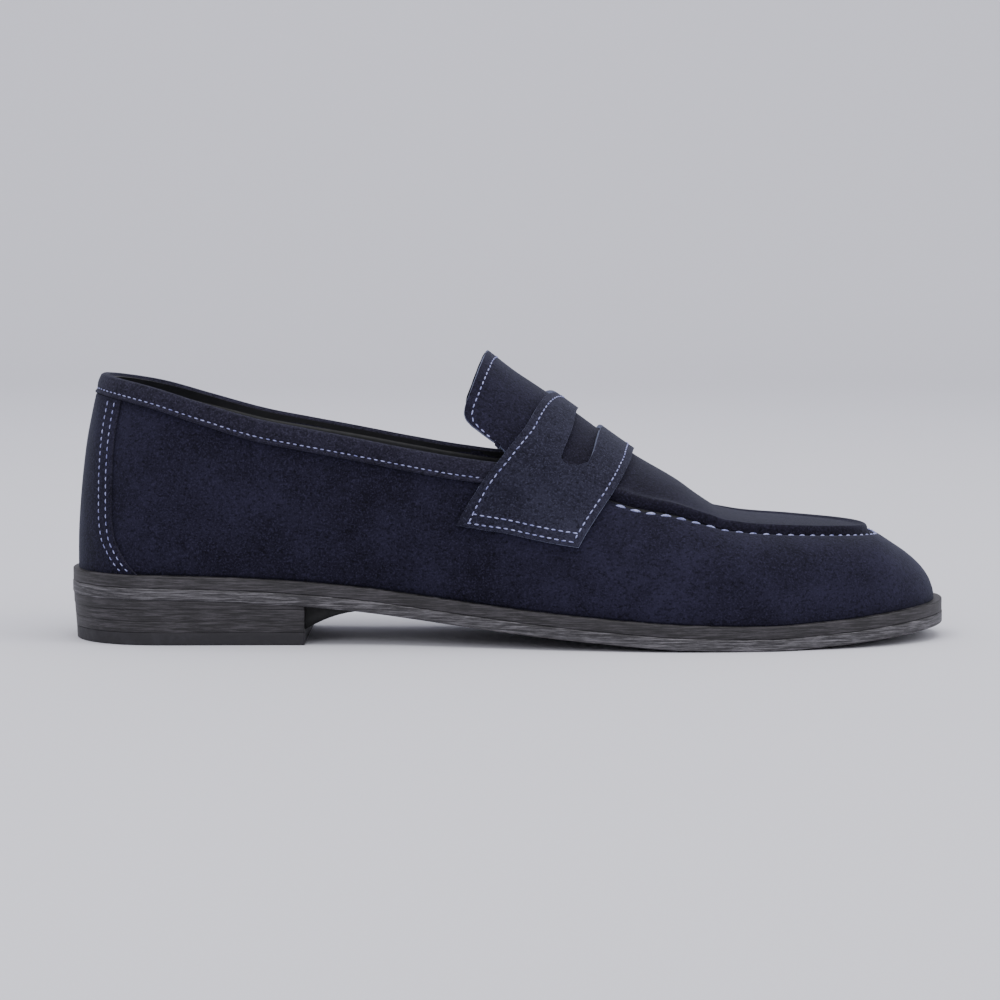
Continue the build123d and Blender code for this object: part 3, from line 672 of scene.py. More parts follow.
@dataclass
class Strap:
    """Saddle strap over the instep, with its rounded slot."""

    back: tuple = ((14.7, 84.7), (6.1, 73.3), (-1.8, 64.0), (-9.2, 55.0), (-17.4, 41.3))
    foot: tuple = ((-17.4, 41.3), (-0.7, 38.9), (10.8, 36.5), (23.2, 34.6))
    front: tuple = ((23.2, 34.6), (26.9, 40.8), (30.6, 46.3), (34.3, 50.8), (38.0, 56.2),
                    (41.0, 60.9), (43.6, 65.5))
    slot_back: tuple = ((24.6, 78.5), (21.3, 72.0), (18.7, 66.5), (17.4, 63.4))
    slot_foot: tuple = ((17.4, 63.4), (18.2, 61.6), (20.4, 60.9), (23.6, 60.7), (26.4, 61.6))
    slot_front: tuple = ((26.4, 61.6), (28.4, 64.4), (30.0, 69.0), (31.2, 71.5), (33.4, 73.2))
    crowns: tuple = (15.7, 42.0)
    slot_crowns: tuple = (22.6, 31.4)
    thick: float = 1.5
    over_wall: float = 1.65
    over_apron: float = 2.75
    smoothing: int = 24
    edge_columns: int = 62
    foot_columns: int = 46
    row_points: int = 90
    mean_lift: float = 2.0
    arch: Optional[Arch] = None

    def _side(self, points: tuple, count: int, close_at: Optional[float] = None) -> np.ndarray:
        """Even (turn, x) points along a side-view line of the outer flank.

        Args:
            points: side-view corners of the line.
            count: how many points.
            close_at: station where the line meets the ridge, put first or last.

        Returns:
            (count, 2) array.
        """
        line = self.arch.turns(points, self.mean_lift)
        if close_at is not None:
            crown = np.array([[math.pi / 2, close_at]])
            line = np.concatenate([crown, line]) if points[0][1] > points[-1][1] \
                else np.concatenate([line, crown])
        even = resample(line * TURN_SCALE, count)
        for _ in range(self.smoothing):
            even[1:-1] = (even[:-2] + 2 * even[1:-1] + even[2:]) / 4
        return even / TURN_SCALE

    def _loop(self, back: tuple, foot: tuple, front: tuple, crowns: tuple,
              counts: tuple) -> np.ndarray:
        """Closed (turn, x) loop: down the back edge, along the foot, up the front, mirrored."""
        down = self._side(back, counts[0], crowns[0])[:-1]
        along = self._side(foot, counts[1])[:-1]
        up = self._side(front, counts[2], crowns[1])
        half = np.concatenate([down, along, up])
        other = half.copy()
        other[:, 0] = math.pi - other[:, 0]
        return np.concatenate([half, other[-2:0:-1]])

    def lift(self, points: np.ndarray) -> np.ndarray:
        """Height of the strap's face: it steps up over the apron and the collar band."""
        x, y, z = points[..., 0], points[..., 1], points[..., 2]
        off = y - FORM.middle(x)
        inset = FORM.apron_half(x, off) - np.abs(off)
        up = smoothstep(-3.5, 1.5, inset)
        drop = FORM.rim(x) - z
        band = smoothstep(-2.0, 1.0, drop) * smoothstep(12.0, 7.5, drop) * smoothstep(14, 4, x)
        return self.over_wall + (self.over_apron - self.over_wall) * np.maximum(up, 0.9 * band)

    def rings_grid(self) -> np.ndarray:
        """(turn, x) grid of rings, from the slot's edge out to the strap's edge."""
        counts = (self.edge_columns, self.foot_columns, self.edge_columns)
        outer = self._loop(self.back, self.foot, self.front, self.crowns, counts)
        inner = self._loop(self.slot_back, self.slot_foot, self.slot_front, self.slot_crowns,
                           counts)
        share = np.array([0, 0.012, 0.035, 0.08, 0.16, 0.27, 0.4, 0.53, 0.66, 0.77, 0.85, 0.905,
                          0.94, 0.965, 0.985, 1.0])
        grid = inner[None] * (1 - share[:, None, None]) + outer[None] * share[:, None, None]
        return np.concatenate([grid, grid[:, :1]], axis=1)

    def make(self, materials: list[bpy.types.Material]) -> bpy.types.Object:
        """The finished strap."""
        grid = self.rings_grid()
        flat = self.arch.place(grid[..., 1], grid[..., 0])
        points = self.arch.place(grid[..., 1], grid[..., 0], self.lift(flat))
        bm = Maker.grid_mesh(points, wrap=True)
        bmesh.ops.recalc_face_normals(bm, faces=bm.faces)
        highest = max(bm.faces, key=lambda face: face.calc_center_median().z)
        if highest.normal.z < 0:
            bmesh.ops.reverse_faces(bm, faces=bm.faces)
        piece = Maker.finish(bm, "strap_suede", materials)
        Maker.thicken(piece, self.thick, 0.45, rim_slot=1)
        return Maker.hang(piece, SHOE, "strap_suede", "saddle_strap")

    def row(self, points: tuple, side: Flank, inset: float,
            crown: Optional[float] = None) -> tuple[np.ndarray, np.ndarray]:
        """Line on the strap's face beside a side-view edge, with its ways out.

        Args:
            points: side-view corners.
            side: flank that the line is on.
            inset: how far the line is moved towards +X, in millimetres.
            crown: station where the line meets the ridge.

        Returns:
            Places and ways out, both (n, 3).
        """
        line = self._side(points, self.row_points, crown)
        turn = line[:, 0] if side is Flank.OUTER else math.pi - line[:, 0]
        x = line[:, 1] + inset
        lift = self.lift(self.arch.place(x, turn))
        face = self.arch.place(x, turn, lift)
        above = self.arch.place(x, turn, lift + 1)
        return face, above - face


@dataclass
class Tongue:
    """Suede tab that lifts behind the strap, with its lining."""

    root: tuple = ((14.7, 83.4), (6.4, 72.6), (-0.6, 65.2))
    lower: tuple = ((-3.0, 67.6), (-8.3, 71.0), (-12.4, 73.9), (-14.4, 75.9), (-15.0, 78.0))
    free: tuple = ((-15.0, 78.0), (-14.7, 80.4), (-13.0, 84.8), (-11.2, 89.6), (-9.4, 94.0))
    crown_free: float = -7.6
    crown_root: float = 17.5
    lift: float = 0.9
    thick: float = 1.3
    lining: float = 0.8
    arch: Optional[Arch] = None

    def grid(self, rows: int = 25, columns: int = 121) -> np.ndarray:
        """(turn, x) grid: rows from the free edge to the root, columns over the arch."""
        left = np.concatenate([self.arch.turns(self.lower + self.free[1:], self.lift),
                               [[math.pi / 2, self.crown_free]]])
        right = np.concatenate([self.arch.turns(self.root[::-1], self.lift),
                                [[math.pi / 2, self.crown_root]]])
        half = (columns + 1) // 2
        left = resample(left * TURN_SCALE, half) / TURN_SCALE
        right = resample(right * TURN_SCALE, half) / TURN_SCALE
        pace = np.linspace(0, 1, rows)[:, None, None]
        one = left[None] * (1 - pace) + right[None] * pace
        other = one[:, -2::-1].copy()
        other[..., 0] = math.pi - other[..., 0]
        return np.concatenate([one, other], axis=1)

    def face(self, grid: np.ndarray, extra: float = 0.0) -> np.ndarray:
        """Places on the tongue's face; its free corners stand a little off the arch."""
        flare = 1.6 * smoothstep(4.0, -14.0, grid[..., 1])
        return self.arch.place(grid[..., 1], grid[..., 0], self.lift + flare + extra)

    def make(self, suede: list[bpy.types.Material],
             lining: list[bpy.types.Material]) -> list[bpy.types.Object]:
        """The suede tab and its lining."""
        grid = self.grid()
        bm = Maker.grid_mesh(self.face(grid)[:, ::-1])
        piece = Maker.finish(bm, "tongue_suede", suede)
        Maker.thicken(piece, self.thick, 0.3, rim_slot=1, even=False)
        inner = Maker.grid_mesh(self.face(grid[2:, 7:-7], -self.thick - 0.05)[:, ::-1])
        back = Maker.finish(inner, "tongue_lining_leather", lining)
        Maker.thicken(back, self.lining, 0.15, even=False)
        return [Maker.hang_bending(piece, "suede", "tongue"),
                Maker.hang_bending(back, "lining", "tongue_lining")]


@dataclass
class Collar:
    """Folded suede band round the foot opening, and the lining below it."""

    height: float = 8.5
    outer_lift: float = 1.3
    rim_thick: float = 3.8
    inner_drop: float = 15.0
    front: float = 9.0
    lining_lift: float = -3.85
    lining_front: float = 30.0
    columns: int = 241
    wall: Optional[WallPanel] = None

    def path(self, drop: np.ndarray, lift: np.ndarray) -> np.ndarray:
        """Places below the rim and off the form, round the opening.

        Args:
            drop: (rows,) distances below the rim.
            lift: (rows,) heights off the form.

        Returns:
            (rows, columns, 3) grid from the outer front round the back to the inner front.
        """
        patch = self.wall.patch
        top = patch.points[-1]
        columns = patch.points.shape[1]
        length = np.concatenate([[0], np.cumsum(np.linalg.norm(np.diff(top, axis=0), axis=1))])
        front = np.nonzero(top[:, 0] > self.front)[0]
        outer_end, inner_end = float(front[0]), float(front[-1])
        outer_run = np.interp(outer_end, np.arange(columns), length)
        inner_run = length[-1] - np.interp(inner_end, np.arange(columns), length)
        run = np.linspace(outer_run, -inner_run, self.columns)
        place = np.interp(np.where(run < 0, run + length[-1], run), length, np.arange(columns))
        rows = patch.points.shape[0]
        grid = []
        for one_drop, one_lift in zip(drop, lift):
            span = np.interp(place, np.arange(columns),
                             np.linalg.norm(patch.points[-1] - patch.points[0], axis=1))
            row = (rows - 1) * (1 - one_drop / span)
            grid.append(patch.sample(row, place, np.full_like(place, one_lift)))
        return np.array(grid)

    def profile(self) -> tuple[np.ndarray, np.ndarray]:
        """Section of the band: up the outer leaf, over the roll, down the inner leaf."""
        half = self.rim_thick / 2
        turn = np.linspace(0, math.pi, 11)
        roll_lift = self.outer_lift - half + half * np.cos(turn)
        roll_drop = half * 0.8 * (1 - np.sin(turn))
        foot = self.height
        outer_drop = [foot - 0.25, foot - 0.05, foot, foot - 0.12, foot - 0.35, foot - 0.8,
                      foot - 1.3, 6.7, 6.2, 4.8, 3.4, 2.2]
        outer_lift = [-0.4, 0.5, 1.0, 1.32, 1.48, 1.45, 1.15, 0.98, 1.2, 1.4, 1.42, 1.35]
        drop = np.concatenate([outer_drop, roll_drop, [2.4, 4.0, 6.0, 9.0, self.inner_drop]])
        lift = np.concatenate([outer_lift, roll_lift, [-2.5, -2.8, -3.1, -3.3, -3.4]])
        return drop, lift

    def make(self, suede: list[bpy.types.Material]) -> bpy.types.Object:
        """The finished band."""
        drop, lift = self.profile()
        grid = self.path(drop, lift)
        bm = Maker.grid_mesh(grid[:, ::-1])
        piece = Maker.finish(bm, "collar_suede", suede)
        Maker.thicken(piece, 0.3, 0.0, even=False)
        return Maker.hang(piece, SHOE, "suede", "collar_band")

    def row(self, drop: float, lift: float) -> tuple[np.ndarray, np.ndarray]:
        """Line on the band for stitches, with its ways out."""
        face = self.path(np.array([drop, drop]), np.array([lift, lift + 1]))
        return face[0], face[1] - face[0]

    def make_lining(self, leather: list[bpy.types.Material]) -> bpy.types.Object:
        """Quarter lining: the inner face of the back and sides."""
        patch = self.wall.patch
        rows = patch.points.shape[0]
        lift = np.full(patch.points.shape[:2], self.lining_lift)
        lift += 0.9 * smoothstep(0.85, 1.0, np.linspace(0, 1, rows))[:, None]
        inner = patch.lifted(lift)
        split = np.nonzero(patch.points[-1, :, 0] >= self.lining_front)[0]
        run = np.concatenate([inner[:, split[-1] + 1:-1], inner[:, :split[0]]], axis=1)
        bm = Maker.grid_mesh(run[:-3])
        bmesh.ops.reverse_faces(bm, faces=bm.faces)
        piece = Maker.finish(bm, "quarter_lining_leather", leather)
        Maker.thicken(piece, 0.8, 0.0)
        return Maker.hang(piece, SHOE, "lining", "quarter_lining")


@dataclass
class Backstay:
    """Heel patch over the back seam, with a curved front edge on each side."""

    edge: Guide = field(default_factory=lambda: Guide(
        (21, -122.2), (23, -124.1), (26.2, -127.4), (31, -130.6), (36, -132.7), (43.6, -133.5),
        (54, -133.5), (66, -133.0), (74.5, -132.0), (79, -131.2), (86, -129.8)))
    lift: float = 0.95
    thick: float = 0.85
    rows: int = 64
    columns: int = 61
    wall: Optional[WallPanel] = None
    top_gap: float = 8.7

    def grid(self, inset: float = 0.0) -> tuple[np.ndarray, np.ndarray]:
        """Fractional rows and columns of the patch on the wall's own grid."""
        patch = self.wall.patch
        rows, columns = patch.points.shape[:2]
        height = patch.points[-1, 0, 2] - patch.points[0, 0, 2]
        top = (rows - 1) * (1 - self.top_gap / height)
        row = np.linspace(0.0, top, self.rows)
        half = columns // 2
        out_rows, out_columns = [], []
        for r in row:
            low = int(min(r, rows - 2))
            near = patch.points[low] * (1 - (r - low)) + patch.points[low + 1] * (r - low)
            ends = []
            for run in (near[:half], near[:half:-1]):
                edge = self.edge(run[:, 2]) - inset
                past = np.nonzero(run[:, 0] > edge)[0]
                first = int(past[0]) if len(past) else half - 1
                before = max(first - 1, 0)
                gap0, gap1 = edge[before] - run[before, 0], edge[first] - run[first, 0]
                ends.append(before + gap0 / max(gap0 - gap1, 1e-6))
            out_columns.append(np.linspace(ends[0], -ends[1], self.columns))
            out_rows.append(np.full(self.columns, r))
        return np.array(out_rows), np.array(out_columns)

    def place(self, row: np.ndarray, column: np.ndarray, lift: np.ndarray) -> np.ndarray:
        """Places on the heel, where columns below 0 are on the inner side."""
        columns = self.wall.patch.points.shape[1]
        wrapped = np.where(column < 0, column + columns - 1, column)
        return self.wall.patch.sample(row, wrapped, lift)

    def make(self, materials: list[bpy.types.Material]) -> bpy.types.Object:
        """The finished patch."""
        row, column = self.grid()
        bm = Maker.grid_mesh(self.place(row, column, self.lift)[:, ::-1])
        piece = Maker.finish(bm, "backstay_suede", materials)
        Maker.thicken(piece, self.thick, 0.22, rim_slot=1)
        return Maker.hang(piece, SHOE, "suede", "backstay")

    def stitch_lines(self) -> list[tuple[np.ndarray, np.ndarray]]:
        """Two lines beside each front edge, with their ways out."""
        lines = []
        for inset in (1.9, 4.4):
            row, column = self.grid(inset)
            for end in (0, -1):
                r, c = row[1:-1, end], column[1:-1, end]
                face = self.place(r, c, self.lift)
                lines.append((face, self.place(r, c, self.lift + 1) - face))
        return lines


# ---------------------------------------------------------------- sole and heel
@dataclass
class SoleLayer:
    """One layer of the sole or heel: a plate between two side-view curves."""

    name: str
    node: str
    slot: str
    inset: float
    low: Callable[[np.ndarray], np.ndarray]
    high: Callable[[np.ndarray], np.ndarray]
    edge: float = 0.7
    front: Optional[float] = None
    taper: float = 0.0
    columns: int = 320
    rings: int = 7

    def outline(self) -> np.ndarray:
        """Plan outline, from the back along the outer side to the toe and back."""
        half = FORM.length / 2 - self.inset
        turn = np.linspace(0, math.pi, 4000)
        x = -half * np.cos(turn)
        sides = []
        for side, guide in ((-1, FORM.sole_outer), (1, FORM.sole_inner)):
            y = FORM.middle(x) + side * (guide(x) - self.inset) * FORM.closing(x, half)
            sides.append(np.stack([x, y], 1))
        if self.front is not None:
            cut = x <= self.front
            outer, inner = sides[0][cut], sides[1][cut]
            end_y = np.linspace(outer[-1, 1], inner[-1, 1], 200)[1:-1]
            breast = np.stack([np.full_like(end_y, self.front), end_y], 1)
            loop = np.concatenate([outer, breast, inner[::-1]])
        else:
            loop = np.concatenate([sides[0], sides[1][-2::-1]])
        return resample(loop, self.columns + 1)

    def make(self, materials: list[bpy.types.Material]) -> bpy.types.Object:
        """The finished plate, with rounded edges and its side's own UV map."""
        edge = self.outline()
        limit = self.front - 8 if self.front is not None else FORM.length / 2 - 40
        spine_x = np.clip(edge[:, 0], -FORM.length / 2 + 30, limit)
        spine = np.stack([spine_x, FORM.middle(spine_x)], 1)
        reach = np.maximum(np.linalg.norm(edge - spine, axis=1, keepdims=True), 1e-6)
        inward = (spine - edge) / reach
        bend = np.linspace(0, math.pi / 2, 5)
        plan, level = [], []
        for part in np.linspace(1, 0, self.rings)[:-1]:
            plan.append(edge + inward * (self.edge + (reach - self.edge) * part))
            level.append((0.0, 0.0))
        for a in bend:
            plan.append(edge + inward * self.edge * (1 - np.sin(a)))
            level.append((0.0, self.edge * (1 - math.cos(a))))
        for part in (0.3, 0.5, 0.7):
            plan.append(edge)
            level.append((part, 0.0))
        for a in bend[::-1]:
            plan.append(edge + inward * self.edge * (1 - np.sin(a)))
            level.append((1.0, -self.edge * (1 - math.cos(a))))
        for part in np.linspace(0, 1, self.rings)[1:]:
            plan.append(edge + inward * (self.edge + (reach - self.edge) * part))
            level.append((1.0, 0.0))
        rows = []
        for place, (share, step) in zip(plan, level):
            low, high = self.low(place[:, 0]), self.high(place[:, 0])
            z = low + (high - low) * share + step
            rows.append(np.column_stack([place + inward * self.taper * (1 - share), z]))
        bm = Maker.grid_mesh(np.array(rows), wrap=True)
        bmesh.ops.remove_doubles(bm, verts=bm.verts, dist=1e-5)
        piece = Maker.finish(bm, self.name, materials, recalc=True)
        return Maker.hang(piece, SHOE, self.slot, self.node)


@dataclass
class SoleStack:
    """Midsole, outsole and stacked heel."""

    midsole: float = 4.2
    outsole: float = 4.0
    breast: float = -68.6
    top_piece: float = 4.4
    lift: float = 3.9
    lifts: int = 2
    taper: float = 0.3
    gap: float = 0.02

    def below(self, drop: float) -> Callable[[np.ndarray], np.ndarray]:
        """Side-view curve a drop below the sole's top."""
        return lambda x: FORM.sole_top(x) - drop

    @staticmethod
    def level(z: float) -> Callable[[np.ndarray], np.ndarray]:
        """Flat side-view curve at one height."""
        return lambda x: np.full_like(np.asarray(x, float), z)

    def make(self, leather: list[bpy.types.Material], rubber: list[bpy.types.Material],
             under: list[bpy.types.Material]) -> list[bpy.types.Object]:
        """All the layers, from the top down."""
        whole = self.midsole + self.outsole
        made = [
            SoleLayer("midsole_leather", "midsole", "sole_leather", 0.15,
                      self.below(self.midsole - self.gap), self.below(0.0),
                      edge=0.35).make(leather),
            SoleLayer("outsole_leather", "outsole", "sole_leather", 0.0, self.below(whole),
                      self.below(self.midsole + self.gap), edge=0.4).make(under),
        ]
        stack_top = self.top_piece + self.lift * self.lifts
        made.append(SoleLayer("heel_wedge_leather", "heel_wedge_lift", "sole_leather", self.taper,
                              self.level(stack_top + self.gap), self.below(whole + self.gap),
                              edge=0.12, front=self.breast, taper=0.15).make(leather))
        for number in range(1, self.lifts + 1):
            low = self.top_piece + self.lift * (number - 1)
            inset = self.taper * (self.lifts + 2 - number)
            made.append(SoleLayer(f"heel_lift_{number}_leather", f"heel_lift_{number}",
                                  "sole_leather", inset, self.level(low + self.gap),
                                  self.level(low + self.lift - self.gap), edge=0.12,
                                  front=self.breast, taper=0.25).make(leather))
        made.append(SoleLayer("heel_tip_rubber", "heel_top_piece", "heel_rubber",
                              self.taper * (self.lifts + 2), self.level(0.0),
                              self.level(self.top_piece - self.gap), edge=0.25,
                              front=self.breast, taper=0.2).make(rubber))
        return made


@dataclass
class SockLayer(SoleLayer):
    """Sock inside the shoe: its plan follows the lining at the sock's own height."""

    gap: float = 3.7

    def outline(self) -> np.ndarray:
        """Plan outline, from the back along the outer side to the toe and back."""
        half = FORM.half - self.gap
        x = -half * np.cos(np.linspace(0, math.pi, 4000))
        share = FORM.share(x, self.high(x))
        close = FORM.closing(x, half) / np.maximum(FORM.closing(x, FORM.half), 1e-3)
        sides = []
        for side in (-1, 1):
            wide = FORM.half_width(x, share, np.full_like(x, side)) * close
            y = FORM.middle(x) + side * np.maximum(wide - self.gap * FORM.closing(x, half), 0)
            sides.append(np.stack([x, y], 1))
        return resample(np.concatenate([sides[0], sides[1][-2::-1]]), self.columns + 1)


@dataclass
class Insole:
    """Sock that the foot stands on, raised over the heel pad."""

    board: float = 3.52
    pad: Guide = field(default_factory=lambda: Guide(
        (-150, 3.0), (-88, 3.0), (-62, 0.25), (150, 0.25)))

    def top(self, x: np.ndarray) -> np.ndarray:
        """Height of the sock's face."""
        return FORM.sole_top(x) + self.board + self.pad(x) + 1.05

    def make(self, leather: list[bpy.types.Material]) -> bpy.types.Object:
        """The sock."""
        layer = SockLayer("sock_liner_leather", "sock_liner", "sock_leather", 0.0,
                          lambda x: self.top(x) - 0.95, self.top, edge=0.3, columns=240, rings=9)
        return layer.make(leather)


@dataclass
class BreastFillet:
    """Leather wedge that fills the corner between the heel's breast and the waist."""

    start: float = -68.6
    length: float = 21.5
    inset: float = 5.5
    foot: float = 5.0
    layers: float = 8.2
    columns: int = 25
    rows: int = 25

    def make(self, leather: list[bpy.types.Material]) -> bpy.types.Object:
        """The curved face, closed along the waist and the breast."""
        reach = np.linspace(0, 1, self.columns)
        x = self.start + 0.05 + self.length * reach
        waist = FORM.sole_top(x) - self.layers
        low = self.foot + (waist - self.foot) * (1 - (1 - reach) ** 1.55)
        top = waist - 0.02
        outer = FORM.middle(x) - (FORM.sole_outer(x) - self.inset)
        inner = FORM.middle(x) + (FORM.sole_inner(x) - self.inset)
        loop = []
        face = [(share, 0) for share in np.linspace(0, 1, self.rows)]
        for share, height in [(0, 1), (0, 0.5)] + face + [(1, 0.5), (1, 1)]:
            y = outer * (1 - share) + inner * share
            loop.append(np.stack([x, y, low + (top - low) * height], 1))
        bm = Maker.grid_mesh(np.array(loop))
        bmesh.ops.recalc_face_normals(bm, faces=bm.faces)
        # Its near-black finish is painted shade for the recess under the waist.
        piece = Maker.finish(bm, "breast_fillet_leather", leather)
        bottom = min(piece.data.polygons, key=lambda p: abs(p.center.x - self.start * MM - 0.006))
        if bottom.normal.z > 0:
            piece.data.flip_normals()
        return Maker.hang(piece, SHOE, "sole_leather", "breast_fillet")


@dataclass
class VampLining:
    """Lining of the forefoot, seen only through the foot opening."""

    depth: float = 4.0
    columns: int = 90
    rows: int = 61

    def make(self, leather: list[bpy.types.Material]) -> bpy.types.Object:
        """A tunnel that narrows to the toe."""
        along = np.linspace(0, 1, self.columns)
        x = (2.0 + (FORM.half - 8 - 2.0) * np.sin(along * math.pi / 2))[None, :]
        turn = np.linspace(0.02, math.pi - 0.02, self.rows)[:, None]
        x, turn = np.broadcast_arrays(x, turn)
        patch = Patch(FORM.arch_point(x, turn))
        shell = patch.lifted(-self.depth)
        shell[..., 2] = np.maximum(shell[..., 2], FORM.sole_top(shell[..., 0]) + 1)
        bm = Maker.grid_mesh(shell)
        bmesh.ops.reverse_faces(bm, faces=bm.faces)
        piece = Maker.finish(bm, "vamp_lining_leather", leather)
        Maker.thicken(piece, 0.8, 0.0)
        return Maker.hang(piece, SHOE, "lining", "vamp_lining")


# ---------------------------------------------------------------- threads
@dataclass
class Threads:
    """Every visible row of stitching."""

    wall: WallPanel
    strap: Strap
    collar: Collar
    backstay: Backstay
    tongue: Tongue
    seam_outset: float = 1.9
    seam_start: float = 34.5
    seam_samples: int = 1500
    seam_pitch: float = 5.2
    seam_shorter: float = 1.9

    def moc_seam(self, thread: list[bpy.types.Material]) -> bpy.types.Object:
        """Long hand stitches round the apron, shorter towards the toe.

        Args:
            thread: the thread's one material.

        Returns:
            The joined stitches.
        """
        top = self.wall.patch.points[-1]
        keep = np.nonzero(top[:, 0] > self.seam_start)[0]
        rows = self.wall.patch.points.shape[0]
        columns = np.linspace(keep[0], keep[-1], self.seam_samples)
        span = np.interp(columns, np.arange(len(top)),
                         np.linalg.norm(top - self.wall.patch.points[0], axis=1))
        row = (rows - 1) * (1 - self.seam_outset / span)
        line = self.wall.patch.sample(row, columns, -0.62)
        out = self.wall.patch.sample(row, columns, 0.38) - line
        travel = np.concatenate([[0], np.cumsum(np.linalg.norm(np.diff(line, axis=0), axis=1))])
        bm = bmesh.new()
        made, start, number = 0, 0.0, 0
        while start < travel[-1] - 3:
            x = float(np.interp(start, travel, line[:, 0]))
            pitch = self.seam_pitch - self.seam_shorter * float(smoothstep(60, 122, x))
            due = np.linspace(start, min(start + pitch, travel[-1]), 12)
            piece = np.stack([np.interp(due, travel, line[:, k]) for k in range(3)], 1)
            ways = np.stack([np.interp(due, travel, out[:, k]) for k in range(3)], 1)
            kind = StitchRow(long=pitch * 0.74, wide=0.95, high=0.9, sink=0.05, skew=0.16,
                             jitter=0.05, seed=40 + number)
            made += kind.add_one(bm, piece, ways)
            start += pitch
            number += 1
        LOG.info("moc seam has %d stitches", made)
        piece = Maker.finish(bm, "moc_stitches", thread, recalc=True)
        return Maker.hang(piece, SHOE, "thread", "moc_seam_thread")

    def strap_rows(self, thread: list[bpy.types.Material]) -> bpy.types.Object:
        """One row along each edge of the strap and two across each foot."""
        kind = StitchRow()
        rows = []
        back = self.strap.back[:-1] + ((-14.6, 45.0), (-15.4, 43.0))
        front = ((24.2, 36.4),) + self.strap.front[1:]
        low = ((-14.9, 42.6), (-0.7, 40.6), (10.8, 38.2), (21.4, 36.4))
        high = ((-13.0, 45.6), (-0.7, 43.6), (10.8, 41.2), (22.8, 39.3))
        for side in Flank:
            rows.append((kind, *self.strap.row(back, side, 2.1, crown=self.strap.crowns[0])))
            rows.append((kind, *self.strap.row(front, side, -2.2, crown=self.strap.crowns[1])))
            rows.append((kind, *self.strap.row(low, side, 0.6)))
            rows.append((kind, *self.strap.row(high, side, 0.6)))
        piece = joined_stitches("strap_stitches", rows, thread[0])
        return Maker.hang(piece, SHOE, "thread", "strap_thread")

    def collar_row(self, thread: list[bpy.types.Material]) -> bpy.types.Object:
        """One row near the band's lower edge, sunk into its dip."""
        line, out = self.collar.row(6.7, 0.98)
        keep = line[:, 0] < -8.5
        outer = np.arange(len(line)) < len(line) // 2
        kind = StitchRow(long=1.6, wide=0.45, high=0.36, pitch=2.3)
        rows = [(kind, line[keep & part], out[keep & part]) for part in (outer, ~outer)]
        piece = joined_stitches("collar_stitches", rows, thread[0])
        return Maker.hang(piece, SHOE, "thread", "collar_thread")

    def backstay_rows(self, thread: list[bpy.types.Material]) -> bpy.types.Object:
        """Two rows beside each front edge of the backstay."""
        kind = StitchRow(long=1.6, wide=0.45)
        rows = [(kind, line, out) for line, out in self.backstay.stitch_lines()]
        piece = joined_stitches("backstay_stitches", rows, thread[0])
        return Maker.hang(piece, SHOE, "thread", "backstay_thread")

    def tongue_row(self, thread: list[bpy.types.Material]) -> bpy.types.Object:
        """One row inside the free edge of the tab."""
        grid = self.tongue.grid(rows=25, columns=241)
        depth = 2.9
        low = int(depth)
        part = depth - low
        spots = grid[low:low + 1] * (1 - part) + grid[low + 1:low + 2] * part
        line = self.tongue.face(spots)[0]
        raised = self.tongue.face(spots, 1)[0]
        inside = (np.arange(len(line)) > 8) & (np.arange(len(line)) < len(line) - 9)
        rows = [(StitchRow(), line[inside], (raised - line)[inside])]
        piece = joined_stitches("tongue_stitches", rows, thread[0])
        return Maker.hang_bending(piece, "thread", "tongue_thread")


# ---------------------------------------------------------------- shader building
def linear(red: int, green: int, blue: int) -> tuple[float, float, float, float]:
    """Linear colour of display values from 0 to 255."""
    def decode(value: int) -> float:
        """One channel, decoded."""
        share = value / 255
        return share / 12.92 if share <= 0.04045 else ((share + 0.055) / 1.055) ** 2.4
    return (decode(red), decode(green), decode(blue), 1.0)


